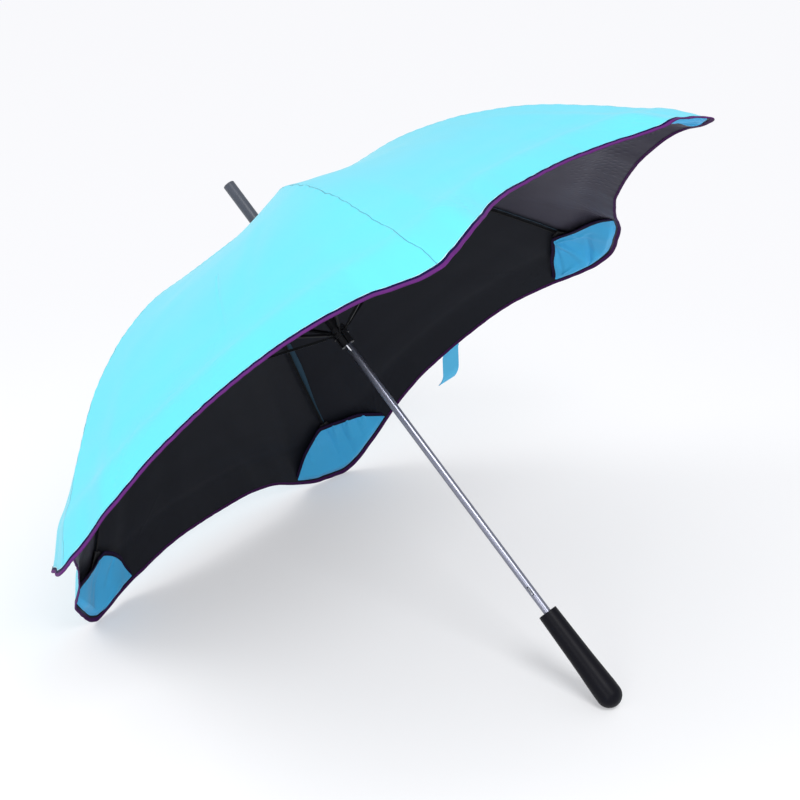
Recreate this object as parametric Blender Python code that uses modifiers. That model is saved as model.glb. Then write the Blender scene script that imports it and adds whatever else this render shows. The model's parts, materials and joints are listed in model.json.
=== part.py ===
"""Straight umbrella with six ribs, lying open on its side on the floor.

The stick stands along local Z with the centre of the grip's round end at the origin.
Each rib is built along local X, turned to its own azimuth, and the whole umbrella is then
laid down so that it rests on two of its tips and on the end of the grip.
All sizes are in metres and all angles in degrees.
"""

import math

import bmesh
import bpy
import numpy as np
from mathutils import Matrix, Vector

NAME = "umbrella"

# Clearances between pieces that touch or turn in each other.
GAP = 0.0003
PIVOT_GAP = 0.00035
MERGE_DISTANCE = 0.00001

# Canopy: the line of the cloth over a rib, from the apex to the tip of the rib.
CANOPY_RADIUS = 0.550
APEX_HEIGHT = 0.7718
CANOPY_DEPTH = 0.2824
CLOTH = 0.0006
CLOTH_HOLE_GAP = 0.0024
NORMAL_STEP_SHARE = 0.004
NORMAL_TURN = 1.5
DIRECTION_STEP_SHARE = 0.01
RADIUS_SHARES = (0, 0.29, 0.38, 0.528, 0.604, 0.672, 0.734, 0.788, 0.83, 0.862, 0.896, 0.928, 1)
DROP_SHARES = (
    0, 0.1003, 0.1275, 0.2273, 0.3048, 0.3869, 0.4786, 0.5709, 0.6428, 0.7036, 0.7636, 0.8152, 1,
)
# Between the ribs the taut cloth sags towards the inside by a share of the canopy's depth.
SAG_LEVEL_SHARES = (0, 0.2, 0.4, 0.6, 0.8, 1)
SAG_SHARES = (0, 0.0223, 0.0386, 0.0347, 0.0234, 0)

# Hem: its outline from the tip of a rib to the middle of the gore.
RIB_NAMES = "ABCDEF"
RIB_AZIMUTH = {"A": 90, "B": 150, "C": -150, "D": -90, "E": -30, "F": 30}
GORE_HALF = 180 / len(RIB_NAMES)
HEM_ANGLES = (-2.5, 0, 2.5, 5, 7.5, 10, 13, 17, 22, 30, 38)
HEM_RADIUS_SHARES = (
    0.9859, 1, 0.9859, 0.9638, 0.9503, 0.9188, 0.8829, 0.8534, 0.8293, 0.8212, 0.8293,
)
HEM_RISE_SHARES = (
    0.0136, 0, 0.0136, 0.0392, 0.0641, 0.0872, 0.1121, 0.1349, 0.1495, 0.1568, 0.1495,
)
HEM_BLEND_POWER = 4
CLOTH_ROWS = 10
CLOTH_COLUMNS = 20
COLUMN_POWER = 1.5
ROW_POWER = 1.4

# Binding tape round the hem.
BINDING_WIDTH = 0.012
BINDING_THICKNESS = 0.0020

# Shaft.
SHAFT_RADIUS = 0.005
SHAFT_WALL = 0.0006
SHAFT_FOOT = 0.022
ROUND_STEPS = 28

# Grip, from its top rim down to its round end.
GRIP_TOP = 0.1307
GRIP_TOP_RADIUS = 0.012
GRIP_END_RADIUS = 0.01705
GRIP_RIM_CHAMFER = 0.0006
GRIP_HEIGHT_SHARES = (0.98, 0.85, 0.7, 0.55, 0.4, 0.27, 0.15, 0.06)
GRIP_FLARE_SHARES = (0, 0.02, 0.08, 0.2, 0.42, 0.66, 0.88, 0.98)
GRIP_END_STEPS = 6
GRIP_ROUND_STEPS = 24

# Ferrule and cap on the top end of the shaft.
FERRULE_RADIUS = 0.008
FERRULE_RISE = 0.0640
FERRULE_ROOF = 0.009
FERRULE_ROUND = 0.0014
FERRULE_ROUND_STEPS = 4
CAP_RADIUS = 0.0135
CAP_THICKNESS = 0.0016

# Crown and runner: slotted rings that carry the inner ends of the ribs and stretchers on a wire.
RING_RADIUS = 0.0115
PIVOT_RADIUS = 0.009
SLOT_DEPTH_RADIUS = 0.0063
WIRE_RADIUS = 0.00045
WIRE_GROOVE = 0.0015
WIRE_STEPS = 24
EYE_RADIUS = 0.0024
EYE_HOLE = 0.0008
EYE_STEPS = 11
HOLE_STEPS = 10
TANG_THICKNESS = 0.0012
TANG_HALF_HEIGHT = 0.00125
CROWN_HEIGHT = 0.0185
CROWN_PIVOT_DEPTH = 0.0062
CROWN_TOP_WALL = 0.003
CROWN_DROP = 0.0034
RUNNER_DROP = 0.2067
RUNNER_PIVOT_RISE = 0.020
RUNNER_SKIRT_HEIGHT = 0.014
RUNNER_SKIRT_RADIUS = 0.0098
RUNNER_RING_TOP = 0.0275
RUNNER_TUBE_RADIUS = 0.0075
RUNNER_HEIGHT = 0.066
STOP_RADIUS = 0.0068
STOP_HEIGHT = 0.003

# Spring catches in the shaft, which the runner passes over by a keyway in its bore.
CATCH_AZIMUTH = 120
CATCH_THICKNESS = 0.0018
CATCH_LENGTH = 0.011
CATCH_REACH = 0.0067
CATCH_ROOT_RADIUS = 0.0012
CATCH_SHOULDER_SHARE = 0.82
CATCH_BOTTOM_HEIGHT = 0.165
CATCH_SLOT_END_GAP = 0.0012
KEYWAY_WALL = 0.0004

# Rib: a round rod under the cloth with a flat tang at the crown and a fork for the stretcher.
ROD_RADIUS = 0.0016
ROD_DEPTH = 0.0052
ROD_POINTS = 7
TANG_REACH = 0.0125
TANG_LAP = 0.004
ROD_JOIN_SHARE = 0.09
JOINT_SHARE = 0.54
FORK_DEPTH = 0.0046
CHEEK_THICKNESS = 0.0007
CHEEK_RADIUS = 0.0024
CHEEK_RISE = 0.0012
CHEEK_FOOT_SHARE = 0.98
RIVET_RADIUS = 0.0008
RIVET_HEAD = 0.0004

# Stretcher: a channel between two flat eyes.
CHANNEL_WIDTH = 0.0036
CHANNEL_HEIGHT = 0.0034
CHANNEL_WALL = 0.0007
CHANNEL_END = 0.0135
EYE_LAP = 0.005

# Spreader: the curved plate in the pocket that keeps the tip of the canopy wide.
SPREADER_THICKNESS = 0.0026
SPREADER_SHARES = (0.872, 0.89, 0.91, 0.932, 0.953, 0.971)
SPREADER_HALF_WIDTHS = (0.007, 0.011, 0.017, 0.025, 0.033, 0.037)
SPREADER_COLUMNS = 6
HUB_RADIUS = 0.0034
HUB_SHARES = (0.838, 0.888)
HUB_GRIP_SHARE = 0.6

# Pocket: the patch inside each tip.
POCKET_CLOTH = 0.0007
POCKET_PEAK_SHARE = 0.874
POCKET_CORNER_SHARE = 0.970
POCKET_FOOT_SHARE = 0.9855
POCKET_HALF_ANGLE = 9.7
POCKET_DEPTH = 0.0100
POCKET_SEAM_GAP = 0.0005
POCKET_PEAK_POWER = 1.5
POCKET_SIDE_SHARE = 0.45
POCKET_LOW_SHARE = 0.011
POCKET_ROWS = 6
POCKET_COLUMNS = 12
POCKET_ROW_POWER = 1.5

# Closing strap, hanging from the hem beside one rib.
STRAP_RIB = "E"
STRAP_ANGLE = -28.4
STRAP_WIDTH = 0.022
STRAP_LENGTH = 0.058
STRAP_THICKNESS = 0.0012
STRAP_STEPS = 10
STRAP_TURN_SHARE = 0.3
STRAP_BEND_SHARE = 0.6
STRAP_SKEW_SHARE = -0.05
STRAP_LEAN = 0.007
STRAP_CURL = 0.006

# Folding: how close the tips come to the shaft.
TIP_RADIUS_CLOSED = 0.0205

COLOURS = {
    "turquoise": (0.19, 0.86, 0.96, 1),
    "pocket_blue": (0.05, 0.35, 0.62, 1),
    "strap_blue": (0.07, 0.39, 0.66, 1),
    "purple": (0.13, 0.03, 0.22, 1),
    "steel": (0.62, 0.64, 0.68, 1),
    "black": (0.015, 0.016, 0.02, 1),
    "dark_steel": (0.05, 0.05, 0.06, 1),
}


class Profile:
    """A smooth line through a table, which never swings past the table's own values."""

    def __init__(self, xs, ys):
        self.xs = np.array(xs, float)
        self.ys = np.array(ys, float)
        step = np.diff(self.xs)
        slope = np.diff(self.ys) / step
        tangent = np.zeros(len(self.xs))
        for i in range(1, len(self.xs) - 1):
            if slope[i - 1] * slope[i] > 0:
                before = 2 * step[i] + step[i - 1]
                after = step[i] + 2 * step[i - 1]
                tangent[i] = (before + after) / (before / slope[i - 1] + after / slope[i])
        tangent[0] = slope[0]
        tangent[-1] = slope[-1]
        self.tangent = tangent

    def at(self, x):
        i = int(np.clip(np.searchsorted(self.xs, x) - 1, 0, len(self.xs) - 2))
        step = self.xs[i + 1] - self.xs[i]
        t = (x - self.xs[i]) / step
        rise = t * t * (3 - 2 * t)
        value = self.ys[i] * (1 - rise) + self.ys[i + 1] * rise
        value += step * self.tangent[i] * t * (1 - t) ** 2
        value -= step * self.tangent[i + 1] * t * t * (1 - t)
        return float(value)


RIB_DROP = Profile(RADIUS_SHARES, DROP_SHARES)
GORE_SAG = Profile(SAG_LEVEL_SHARES, SAG_SHARES)
HEM_RADIUS = Profile(HEM_ANGLES, HEM_RADIUS_SHARES)
HEM_RISE = Profile(HEM_ANGLES, HEM_RISE_SHARES)


def canopy_point(level, angle):
    """A point of the cloth in its rib's frame.

    The threads run from rib to rib with a slight sag, and towards the hem they pass over
    into the hem's own outline.
    """
    side = abs(angle)
    half = math.radians(GORE_HALF)
    chord = math.cos(half) / math.cos(half - math.radians(side))
    blend = max(level, 0) ** HEM_BLEND_POWER
    ratio = (1 - blend) * chord + blend * HEM_RADIUS.at(side)
    radius = CANOPY_RADIUS * level * ratio
    sag = GORE_SAG.at(level) * (1 - (1 - side / GORE_HALF) ** 2)
    drop = RIB_DROP.at(level) + sag - blend * HEM_RISE.at(side)
    height = APEX_HEIGHT - CANOPY_DEPTH * drop
    turn = math.radians(angle)
    return Vector((radius * math.cos(turn), radius * math.sin(turn), height))


def canopy_normal(level, angle):
    """The outward direction of the cloth, with the ridge over the rib rounded off."""
    step = NORMAL_STEP_SHARE
    low, high = max(level - step, step), min(level + step, 1)
    along = canopy_point(high, angle) - canopy_point(low, angle)
    across = canopy_point(level, angle + NORMAL_TURN) - canopy_point(level, angle - NORMAL_TURN)
    return along.cross(across).normalized()


def under_cloth(level, angle, depth):
    return canopy_point(level, angle) - canopy_normal(level, angle) * depth


def angle_at(level, offset):
    """The angle at which the level line stands a given distance to the side of the rib."""
    low, high = 0, GORE_HALF
    for _ in range(40):
        middle = (low + high) / 2
        if canopy_point(level, middle).y < abs(offset):
            low = middle
        else:
            high = middle
    return math.copysign(low, offset)


def level_share(length):
    """The share of the rib line that a length takes up at the hem."""
    share = DIRECTION_STEP_SHARE
    run = (canopy_point(1, 0) - canopy_point(1 - share, 0)).length
    return share * length / run


# Places that follow from the sizes above.
TIP_HEIGHT = APEX_HEIGHT - CANOPY_DEPTH
FERRULE_TOP = APEX_HEIGHT + FERRULE_RISE
RUNNER_FOOT = APEX_HEIGHT - RUNNER_DROP
CLOTH_EDGE = 1 - level_share(BINDING_WIDTH)
CROWN_TOP = APEX_HEIGHT - CROWN_DROP
CROWN_PIVOT = CROWN_TOP - CROWN_PIVOT_DEPTH
RUNNER_PIVOT = RUNNER_FOOT + RUNNER_PIVOT_RISE
BORE = SHAFT_RADIUS + GAP
SLOT_WIDTH = TANG_THICKNESS + 2 * PIVOT_GAP
CAP_FOOT = APEX_HEIGHT - GAP
FERRULE_FOOT = CAP_FOOT + CAP_THICKNESS + GAP
SHAFT_TOP = FERRULE_TOP - FERRULE_ROOF - GAP
POCKET_EDGE_DEPTH = (CLOTH + POCKET_CLOTH) / 2 + POCKET_SEAM_GAP
CLOTH_HOLE_LEVEL = (FERRULE_RADIUS + CLOTH_HOLE_GAP) / CANOPY_RADIUS
STOP_FOOT = RUNNER_FOOT + RUNNER_HEIGHT + GAP
CATCH_TOP_HEIGHT = RUNNER_FOOT - GAP - CATCH_LENGTH * (CATCH_SHOULDER_SHARE - 0.5)
KEYWAY_WIDTH = CATCH_THICKNESS + 2 * PIVOT_GAP
TIP_POINT = Vector((CANOPY_RADIUS, 0, TIP_HEIGHT))
CROWN_POINT = Vector((PIVOT_RADIUS, 0, CROWN_PIVOT))
RUNNER_POINT = Vector((PIVOT_RADIUS, 0, RUNNER_PIVOT))


def rod_point(level):
    return under_cloth(level, 0, ROD_DEPTH)


def hub_levels():
    """Where the rod runs inside the spreader's hub."""
    end = HUB_SHARES[0] + (HUB_SHARES[1] - HUB_SHARES[0]) * HUB_GRIP_SHARE
    return [HUB_SHARES[0], (HUB_SHARES[0] + end) / 2, end]


def rod_line():
    """The rib's centre line, from the tang at the crown to the spreader's hub."""
    join = rod_point(ROD_JOIN_SHARE)
    way = (join - CROWN_POINT).normalized()
    inner = np.linspace(ROD_JOIN_SHARE, JOINT_SHARE, ROD_POINTS)
    outer = np.linspace(JOINT_SHARE, HUB_SHARES[0], ROD_POINTS)
    levels = list(inner) + list(outer[1:]) + hub_levels()[1:]
    return [CROWN_POINT + way * TANG_REACH] + [rod_point(float(s)) for s in levels]


def rod_direction(level):
    step = DIRECTION_STEP_SHARE
    return (rod_point(level + step) - rod_point(level - step)).normalized()


JOINT_DIRECTION = rod_direction(JOINT_SHARE)
JOINT_DOWN = Vector((JOINT_DIRECTION.z, 0, -JOINT_DIRECTION.x))
JOINT_POINT = rod_point(JOINT_SHARE) + JOINT_DOWN * FORK_DEPTH


def fold_sizes():
    """How far the rib, stretcher and runner move between open and closed."""
    inner = (JOINT_POINT - CROWN_POINT).length
    outer = (JOINT_POINT - RUNNER_POINT).length
    reach = TIP_POINT - CROWN_POINT
    rib_open = math.atan2(JOINT_POINT.x - CROWN_POINT.x, CROWN_POINT.z - JOINT_POINT.z)
    tip_open = math.atan2(reach.x, -reach.z)
    tip_closed = math.asin((TIP_RADIUS_CLOSED - PIVOT_RADIUS) / reach.length)
    rib_turn = tip_open - tip_closed
    rib_closed = rib_open - rib_turn
    lean_open = math.asin(inner * math.sin(rib_open) / outer)
    lean_closed = math.asin(inner * math.sin(rib_closed) / outer)
    span_open = inner * math.cos(rib_open) + outer * math.cos(lean_open)
    span_closed = inner * math.cos(rib_closed) + outer * math.cos(lean_closed)
    stretcher_turn = rib_open + lean_open - rib_closed - lean_closed
    return {
        "runner_travel": span_closed - span_open,
        "rib_turn": rib_turn,
        "stretcher_turn": stretcher_turn,
    }


def clear_scene():
    for item in list(bpy.data.objects):
        bpy.data.objects.remove(item, do_unlink=True)


def new_collection(name):
    found = bpy.data.collections.get(name) or bpy.data.collections.new(name)
    if found.name not in bpy.context.scene.collection.children:
        bpy.context.scene.collection.children.link(found)
    return found


class Shop:
    """Makes mesh objects and keeps track of the collections that they go in."""

    def __init__(self):
        self.parts = new_collection(NAME)
        self.cutters = new_collection(NAME + "_cutters")

    def add(self, name, mesh, cutter=False):
        item = bpy.data.objects.new(name, mesh)
        (self.cutters if cutter else self.parts).objects.link(item)
        if cutter:
            item.hide_render = True
            item.display_type = "WIRE"
        return item

    def flatten(self, item):
        """Replace an object's mesh by the result of its modifiers."""
        bpy.context.view_layer.update()
        graph = bpy.context.evaluated_depsgraph_get()
        mesh = bpy.data.meshes.new_from_object(item.evaluated_get(graph))
        shell = bmesh.new()
        shell.from_mesh(mesh)
        bmesh.ops.remove_doubles(shell, verts=shell.verts, dist=MERGE_DISTANCE)
        bmesh.ops.recalc_face_normals(shell, faces=shell.faces)
        shell.to_mesh(mesh)
        shell.free()
        name = item.name
        home = item.users_collection[0]
        hidden = item.hide_render
        bpy.data.objects.remove(item, do_unlink=True)
        fresh = bpy.data.objects.new(name, mesh)
        home.objects.link(fresh)
        fresh.hide_render = hidden
        return fresh

    def turned(self, name, outline, steps=ROUND_STEPS, cutter=False):
        """Turn a closed outline of (radius, height) points round the Z axis."""
        mesh = bpy.data.meshes.new(name)
        points = [(radius, 0, height) for radius, height in outline]
        count = len(points)
        closed = outline[0][0] > 0 and outline[-1][0] > 0
        edges = [(i, (i + 1) % count) for i in range(count if closed else count - 1)]
        mesh.from_pydata(points, edges, [])
        item = self.add(name, mesh, cutter)
        screw = item.modifiers.new("Turn", "SCREW")
        screw.axis = "Z"
        screw.angle = math.tau
        screw.steps = steps
        screw.render_steps = steps
        screw.use_merge_vertices = True
        screw.merge_threshold = MERGE_DISTANCE
        return self.flatten(item)

    def plate(self, name, outline, thickness, holes=(), cutter=False):
        """A flat plate in the XZ plane, centred on Y, with round holes (x, z, radius)."""
        curve = bpy.data.curves.new(name, "CURVE")
        curve.dimensions = "2D"
        curve.fill_mode = "BOTH"
        curve.extrude = thickness / 2
        loops = [outline]
        for x, z, radius in holes:
            loops.append(circle_points(x, z, radius, HOLE_STEPS))
        for loop in loops:
            spline = curve.splines.new("POLY")
            spline.points.add(len(loop) - 1)
            for point, (x, z) in zip(spline.points, loop):
                point.co = (x, z, 0, 1)
            spline.use_cyclic_u = True
        item = bpy.data.objects.new(name, curve)
        self.parts.objects.link(item)
        fresh = self.flatten(item)
        fresh.data.transform(Matrix.Rotation(math.radians(90), 4, "X"))
        if cutter:
            self.parts.objects.unlink(fresh)
            self.cutters.objects.link(fresh)
            fresh.hide_render = True
            fresh.display_type = "WIRE"
        return fresh

    def rod(self, name, points, radius, sides=2, cyclic=False):
        """A round rod along a line of points."""
        curve = bpy.data.curves.new(name, "CURVE")
        curve.dimensions = "3D"
        curve.bevel_depth = radius
        curve.bevel_resolution = sides
        curve.use_fill_caps = not cyclic
        spline = curve.splines.new("POLY")
        spline.points.add(len(points) - 1)
        for point, place in zip(spline.points, points):
            point.co = (place[0], place[1], place[2], 1)
        spline.use_cyclic_u = cyclic
        item = bpy.data.objects.new(name, curve)
        self.parts.objects.link(item)
        return self.flatten(item)

    def box(self, name, low, high, cutter=False):
        shell = bmesh.new()
        bmesh.ops.create_cube(shell, size=1)
        size = Vector(high) - Vector(low)
        middle = (Vector(high) + Vector(low)) / 2
        bmesh.ops.scale(shell, vec=size, verts=shell.verts)
        bmesh.ops.translate(shell, vec=middle, verts=shell.verts)
        mesh = bpy.data.meshes.new(name)
        shell.to_mesh(mesh)
        shell.free()
        return self.add(name, mesh, cutter)

    def sheet(self, name, rows, columns, place, thickness, offset=0):
        """A grid moved onto a curved surface and given a thickness."""
        shell = bmesh.new()
        bmesh.ops.create_grid(shell, x_segments=rows, y_segments=columns, size=1)
        for point in shell.verts:
            point.co = place((point.co.x + 1) / 2, point.co.y)
        if sum((face.normal.z for face in self.fresh_normals(shell)), 0) < 0:
            bmesh.ops.reverse_faces(shell, faces=shell.faces)
        mesh = bpy.data.meshes.new(name)
        shell.to_mesh(mesh)
        shell.free()
        item = self.add(name, mesh)
        solid = item.modifiers.new("Thickness", "SOLIDIFY")
        solid.thickness = thickness
        solid.offset = offset
        solid.use_even_offset = True
        return self.flatten(item)

    def fresh_normals(self, shell):
        shell.normal_update()
        return shell.faces

    def combine(self, item, other, operation):
        """Join another solid to an object, or cut it away."""
        step = item.modifiers.new(operation.title(), "BOOLEAN")
        step.operation = operation
        step.solver = "EXACT"
        step.object = other
        fresh = self.flatten(item)
        bpy.data.objects.remove(other, do_unlink=True)
        return fresh

    def gather(self, items, name):
        """Put several separate solids into one mesh object."""
        shell = bmesh.new()
        for item in items:
            mesh = item.data.copy()
            mesh.transform(item.matrix_basis)
            shell.from_mesh(mesh)
            bpy.data.meshes.remove(mesh)
        mesh = bpy.data.meshes.new(name)
        shell.to_mesh(mesh)
        shell.free()
        for item in items:
            bpy.data.objects.remove(item, do_unlink=True)
        return self.add(name, mesh)


def circle_points(x, z, radius, count, start=0, sweep=360):
    points = []
    for i in range(count):
        turn = math.radians(start + sweep * i / (count if sweep == 360 else count - 1))
        points.append((x + radius * math.cos(turn), z + radius * math.sin(turn)))
    return points


def link_outline(start, end, radius, half):
    """A flat link: a round eye at start and a straight bar of half height half to end."""
    way = (end - start).normalized()
    side = Vector((-way.z, 0, way.x))
    opening = math.asin(half / radius)
    heading = math.degrees(math.atan2(way.z, way.x))
    away = math.degrees(opening)
    eye = circle_points(start.x, start.z, radius, EYE_STEPS, heading + away, 360 - 2 * away)
    low = end - side * half
    high = end + side * half
    return eye + [(low.x, low.z), (high.x, high.z)]


def radial_slots(shop, name, inner, outer, low, high, width, azimuths):
    """Box cutters from inner to outer radius, one at each azimuth."""
    boxes = []
    for azimuth in azimuths:
        item = shop.box(name + "_" + str(azimuth), (inner, -width / 2, low), (outer, width / 2, high))
        item.data.transform(Matrix.Rotation(math.radians(azimuth), 4, "Z"))
        boxes.append(item)
    return shop.gather(boxes, name)


def wire_groove_outline(ring_low, ring_high, pivot):
    """The outer edge of a slotted ring, top to bottom, with the groove for its wire."""
    half = WIRE_GROOVE / 2
    floor = PIVOT_RADIUS - WIRE_RADIUS - GAP
    return [
        (RING_RADIUS, ring_high),
        (RING_RADIUS, pivot + half),
        (floor, pivot + half),
        (floor, pivot - half),
        (RING_RADIUS, pivot - half),
        (RING_RADIUS, ring_low),
    ]


def make_shaft(shop):
    inner = SHAFT_RADIUS - SHAFT_WALL
    outline = [
        (SHAFT_RADIUS, SHAFT_TOP),
        (SHAFT_RADIUS, SHAFT_FOOT),
        (inner, SHAFT_FOOT),
        (inner, SHAFT_TOP),
    ]
    shaft = shop.turned("shaft_tube", outline)
    half = CATCH_LENGTH / 2 + CATCH_SLOT_END_GAP
    width = CATCH_THICKNESS + 2 * PIVOT_GAP
    for height in (CATCH_TOP_HEIGHT, CATCH_BOTTOM_HEIGHT):
        low, high = height - half, height + half
        slot = radial_slots(
            shop, "catch_slot", inner - SHAFT_WALL, SHAFT_RADIUS + SHAFT_WALL, low, high, width,
            [CATCH_AZIMUTH],
        )
        shaft = shop.combine(shaft, slot, "DIFFERENCE")
    return shaft


def make_grip(shop):
    flare = GRIP_END_RADIUS - GRIP_TOP_RADIUS
    outline = [
        (BORE, GRIP_TOP),
        (GRIP_TOP_RADIUS - GRIP_RIM_CHAMFER, GRIP_TOP),
        (GRIP_TOP_RADIUS, GRIP_TOP - GRIP_RIM_CHAMFER),
    ]
    for height, share in zip(GRIP_HEIGHT_SHARES, GRIP_FLARE_SHARES):
        outline.append((GRIP_TOP_RADIUS + flare * share, GRIP_TOP * height))
    for i in range(GRIP_END_STEPS):
        turn = math.radians(90 * i / GRIP_END_STEPS)
        outline.append((GRIP_END_RADIUS * math.cos(turn), -GRIP_END_RADIUS * math.sin(turn)))
    outline.append((0, -GRIP_END_RADIUS))
    outline += [(0, SHAFT_FOOT - GAP), (BORE, SHAFT_FOOT - GAP)]
    # The bore's floor and the round end both meet the axis, so the outline starts at the bore's floor.
    start = len(outline) - 2
    outline = outline[start:] + outline[:start]
    return shop.turned("handle_grip", outline, GRIP_ROUND_STEPS)


def make_ferrule(shop):
    outline = [(0, FERRULE_TOP)]
    for i in range(FERRULE_ROUND_STEPS + 1):
        turn = math.radians(90 - 90 * i / FERRULE_ROUND_STEPS)
        outline.append(
            (
                FERRULE_RADIUS - FERRULE_ROUND * (1 - math.cos(turn)),
                FERRULE_TOP - FERRULE_ROUND * (1 - math.sin(turn)),
            )
        )
    outline += [
        (FERRULE_RADIUS, FERRULE_FOOT),
        (BORE, FERRULE_FOOT),
        (BORE, FERRULE_TOP - FERRULE_ROOF),
        (0, FERRULE_TOP - FERRULE_ROOF),
    ]
    return shop.turned("ferrule", outline)


def make_cap(shop):
    top = CAP_FOOT + CAP_THICKNESS
    outline = [
        (BORE, top),
        (FERRULE_RADIUS + CAP_THICKNESS, top),
        (CAP_RADIUS, CAP_FOOT + CAP_THICKNESS / 2),
        (CAP_RADIUS, CAP_FOOT),
        (BORE, CAP_FOOT),
    ]
    return shop.turned("canopy_cap", outline)


def make_crown(shop):
    low = CROWN_TOP - CROWN_HEIGHT
    slot_top = CROWN_TOP - CROWN_TOP_WALL
    outline = [(BORE, CROWN_TOP)]
    outline += wire_groove_outline(low, CROWN_TOP, CROWN_PIVOT)
    outline += [(BORE, low)]
    crown = shop.turned("crown", outline)
    slots = radial_slots(
        shop, "crown_slots", SLOT_DEPTH_RADIUS, RING_RADIUS + EYE_RADIUS, low - EYE_RADIUS,
        slot_top, SLOT_WIDTH, RIB_AZIMUTH.values(),
    )
    return shop.combine(crown, slots, "DIFFERENCE")


def make_runner(shop):
    ring_low = RUNNER_FOOT + RUNNER_SKIRT_HEIGHT
    ring_high = RUNNER_FOOT + RUNNER_RING_TOP
    top = RUNNER_FOOT + RUNNER_HEIGHT
    outline = [(BORE, top), (RUNNER_TUBE_RADIUS, top), (RUNNER_TUBE_RADIUS, ring_high)]
    outline += wire_groove_outline(ring_low, ring_high, RUNNER_PIVOT)
    outline += [
        (RUNNER_SKIRT_RADIUS, ring_low),
        (RUNNER_SKIRT_RADIUS, RUNNER_FOOT),
        (BORE, RUNNER_FOOT),
    ]
    runner = shop.turned("runner_body", outline)
    slots = radial_slots(
        shop, "runner_slots", SLOT_DEPTH_RADIUS, RING_RADIUS + EYE_RADIUS,
        RUNNER_FOOT - EYE_RADIUS, ring_high + GAP, SLOT_WIDTH, RIB_AZIMUTH.values(),
    )
    runner = shop.combine(runner, slots, "DIFFERENCE")
    keyway = radial_slots(
        shop, "keyway", SHAFT_RADIUS - SHAFT_WALL, RUNNER_TUBE_RADIUS - KEYWAY_WALL,
        RUNNER_FOOT - EYE_RADIUS, top + EYE_RADIUS, KEYWAY_WIDTH, [CATCH_AZIMUTH],
    )
    return shop.combine(runner, keyway, "DIFFERENCE")


def make_wire(shop, name, pivot):
    points = []
    for i in range(WIRE_STEPS):
        turn = math.tau * i / WIRE_STEPS
        points.append((PIVOT_RADIUS * math.cos(turn), PIVOT_RADIUS * math.sin(turn), pivot))
    return shop.rod(name, points, WIRE_RADIUS, 1, cyclic=True)


def make_stop(shop):
    outline = [
        (BORE, STOP_FOOT + STOP_HEIGHT),
        (STOP_RADIUS, STOP_FOOT + STOP_HEIGHT),
        (STOP_RADIUS, STOP_FOOT),
        (BORE, STOP_FOOT),
    ]
    return shop.turned("runner_stop", outline)


def make_catch(shop, name, height, shoulder_up):
    """A wedge that stands out of the shaft, with its shoulder towards the runner."""
    half = CATCH_LENGTH / 2
    peak = half * (2 * CATCH_SHOULDER_SHARE - 1)
    sign = 1 if shoulder_up else -1
    outline = [
        (CATCH_ROOT_RADIUS, -half * sign),
        (SHAFT_RADIUS - SHAFT_WALL, -half * sign),
        (CATCH_REACH, peak * sign),
        (CATCH_REACH - SHAFT_WALL, half * sign),
        (CATCH_ROOT_RADIUS, half * sign),
    ]
    outline = [(radius, height + z) for radius, z in outline]
    catch = shop.plate(name, outline, CATCH_THICKNESS)
    catch.data.transform(Matrix.Rotation(math.radians(CATCH_AZIMUTH), 4, "Z"))
    return catch


def make_rib(shop, name):
    line = rod_line()
    rod = shop.rod(name, line, ROD_RADIUS, 1)
    way = (line[1] - line[0]).normalized()
    outline = link_outline(CROWN_POINT, line[0] + way * TANG_LAP, EYE_RADIUS, TANG_HALF_HEIGHT)
    tang = shop.plate("tang", outline, TANG_THICKNESS, [(CROWN_POINT.x, CROWN_POINT.z, EYE_HOLE)])
    rod = shop.combine(rod, tang, "UNION")
    top = JOINT_POINT - JOINT_DOWN * (FORK_DEPTH - CHEEK_RISE)
    outline = link_outline(JOINT_POINT, top, CHEEK_RADIUS, CHEEK_RADIUS * CHEEK_FOOT_SHARE)
    for side in (-1, 1):
        cheek = shop.plate("cheek", outline, CHEEK_THICKNESS)
        shift = side * (SLOT_WIDTH + CHEEK_THICKNESS) / 2
        cheek.data.transform(Matrix.Translation((0, shift, 0)))
        rod = shop.combine(rod, cheek, "UNION")
    reach = SLOT_WIDTH / 2 + CHEEK_THICKNESS + RIVET_HEAD
    head = circle_points(JOINT_POINT.x, JOINT_POINT.z, RIVET_RADIUS, HOLE_STEPS)
    rivet = shop.plate("rivet", head, 2 * reach)
    return shop.combine(rod, rivet, "UNION")


def make_stretcher(shop, name):
    """A channel between two flat eyes, one at the runner and one in the rib's fork."""
    way = (JOINT_POINT - RUNNER_POINT).normalized()
    length = (JOINT_POINT - RUNNER_POINT).length
    run = length - 2 * CHANNEL_END
    half_width, half_height = CHANNEL_WIDTH / 2, CHANNEL_HEIGHT / 2
    low = (CHANNEL_END, -half_width, -half_height)
    high = (CHANNEL_END + run, half_width, half_height)
    channel = shop.box(name, low, high)
    inner = half_width - CHANNEL_WALL
    start = CHANNEL_END + EYE_LAP
    groove = shop.box(
        "groove", (start, -inner, -half_height + CHANNEL_WALL),
        (length - start, inner, half_height + CHANNEL_WALL), cutter=True,
    )
    channel = shop.combine(channel, groove, "DIFFERENCE")
    ends = ((0, 1, EYE_HOLE), (length, -1, RIVET_RADIUS + PIVOT_GAP))
    for place, sign, hole in ends:
        begin = Vector((place, 0, 0))
        stop = Vector((place + sign * (CHANNEL_END + EYE_LAP / 2), 0, 0))
        outline = link_outline(begin, stop, EYE_RADIUS, TANG_HALF_HEIGHT)
        eye = shop.plate("eye", outline, TANG_THICKNESS, [(place, 0, hole)])
        channel = shop.combine(channel, eye, "UNION")
    side = Vector((0, 1, 0))
    up = way.cross(side)
    frame = Matrix((way, side, up)).transposed().to_4x4()
    channel.data.transform(Matrix.Translation(RUNNER_POINT) @ frame)
    return channel


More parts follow.
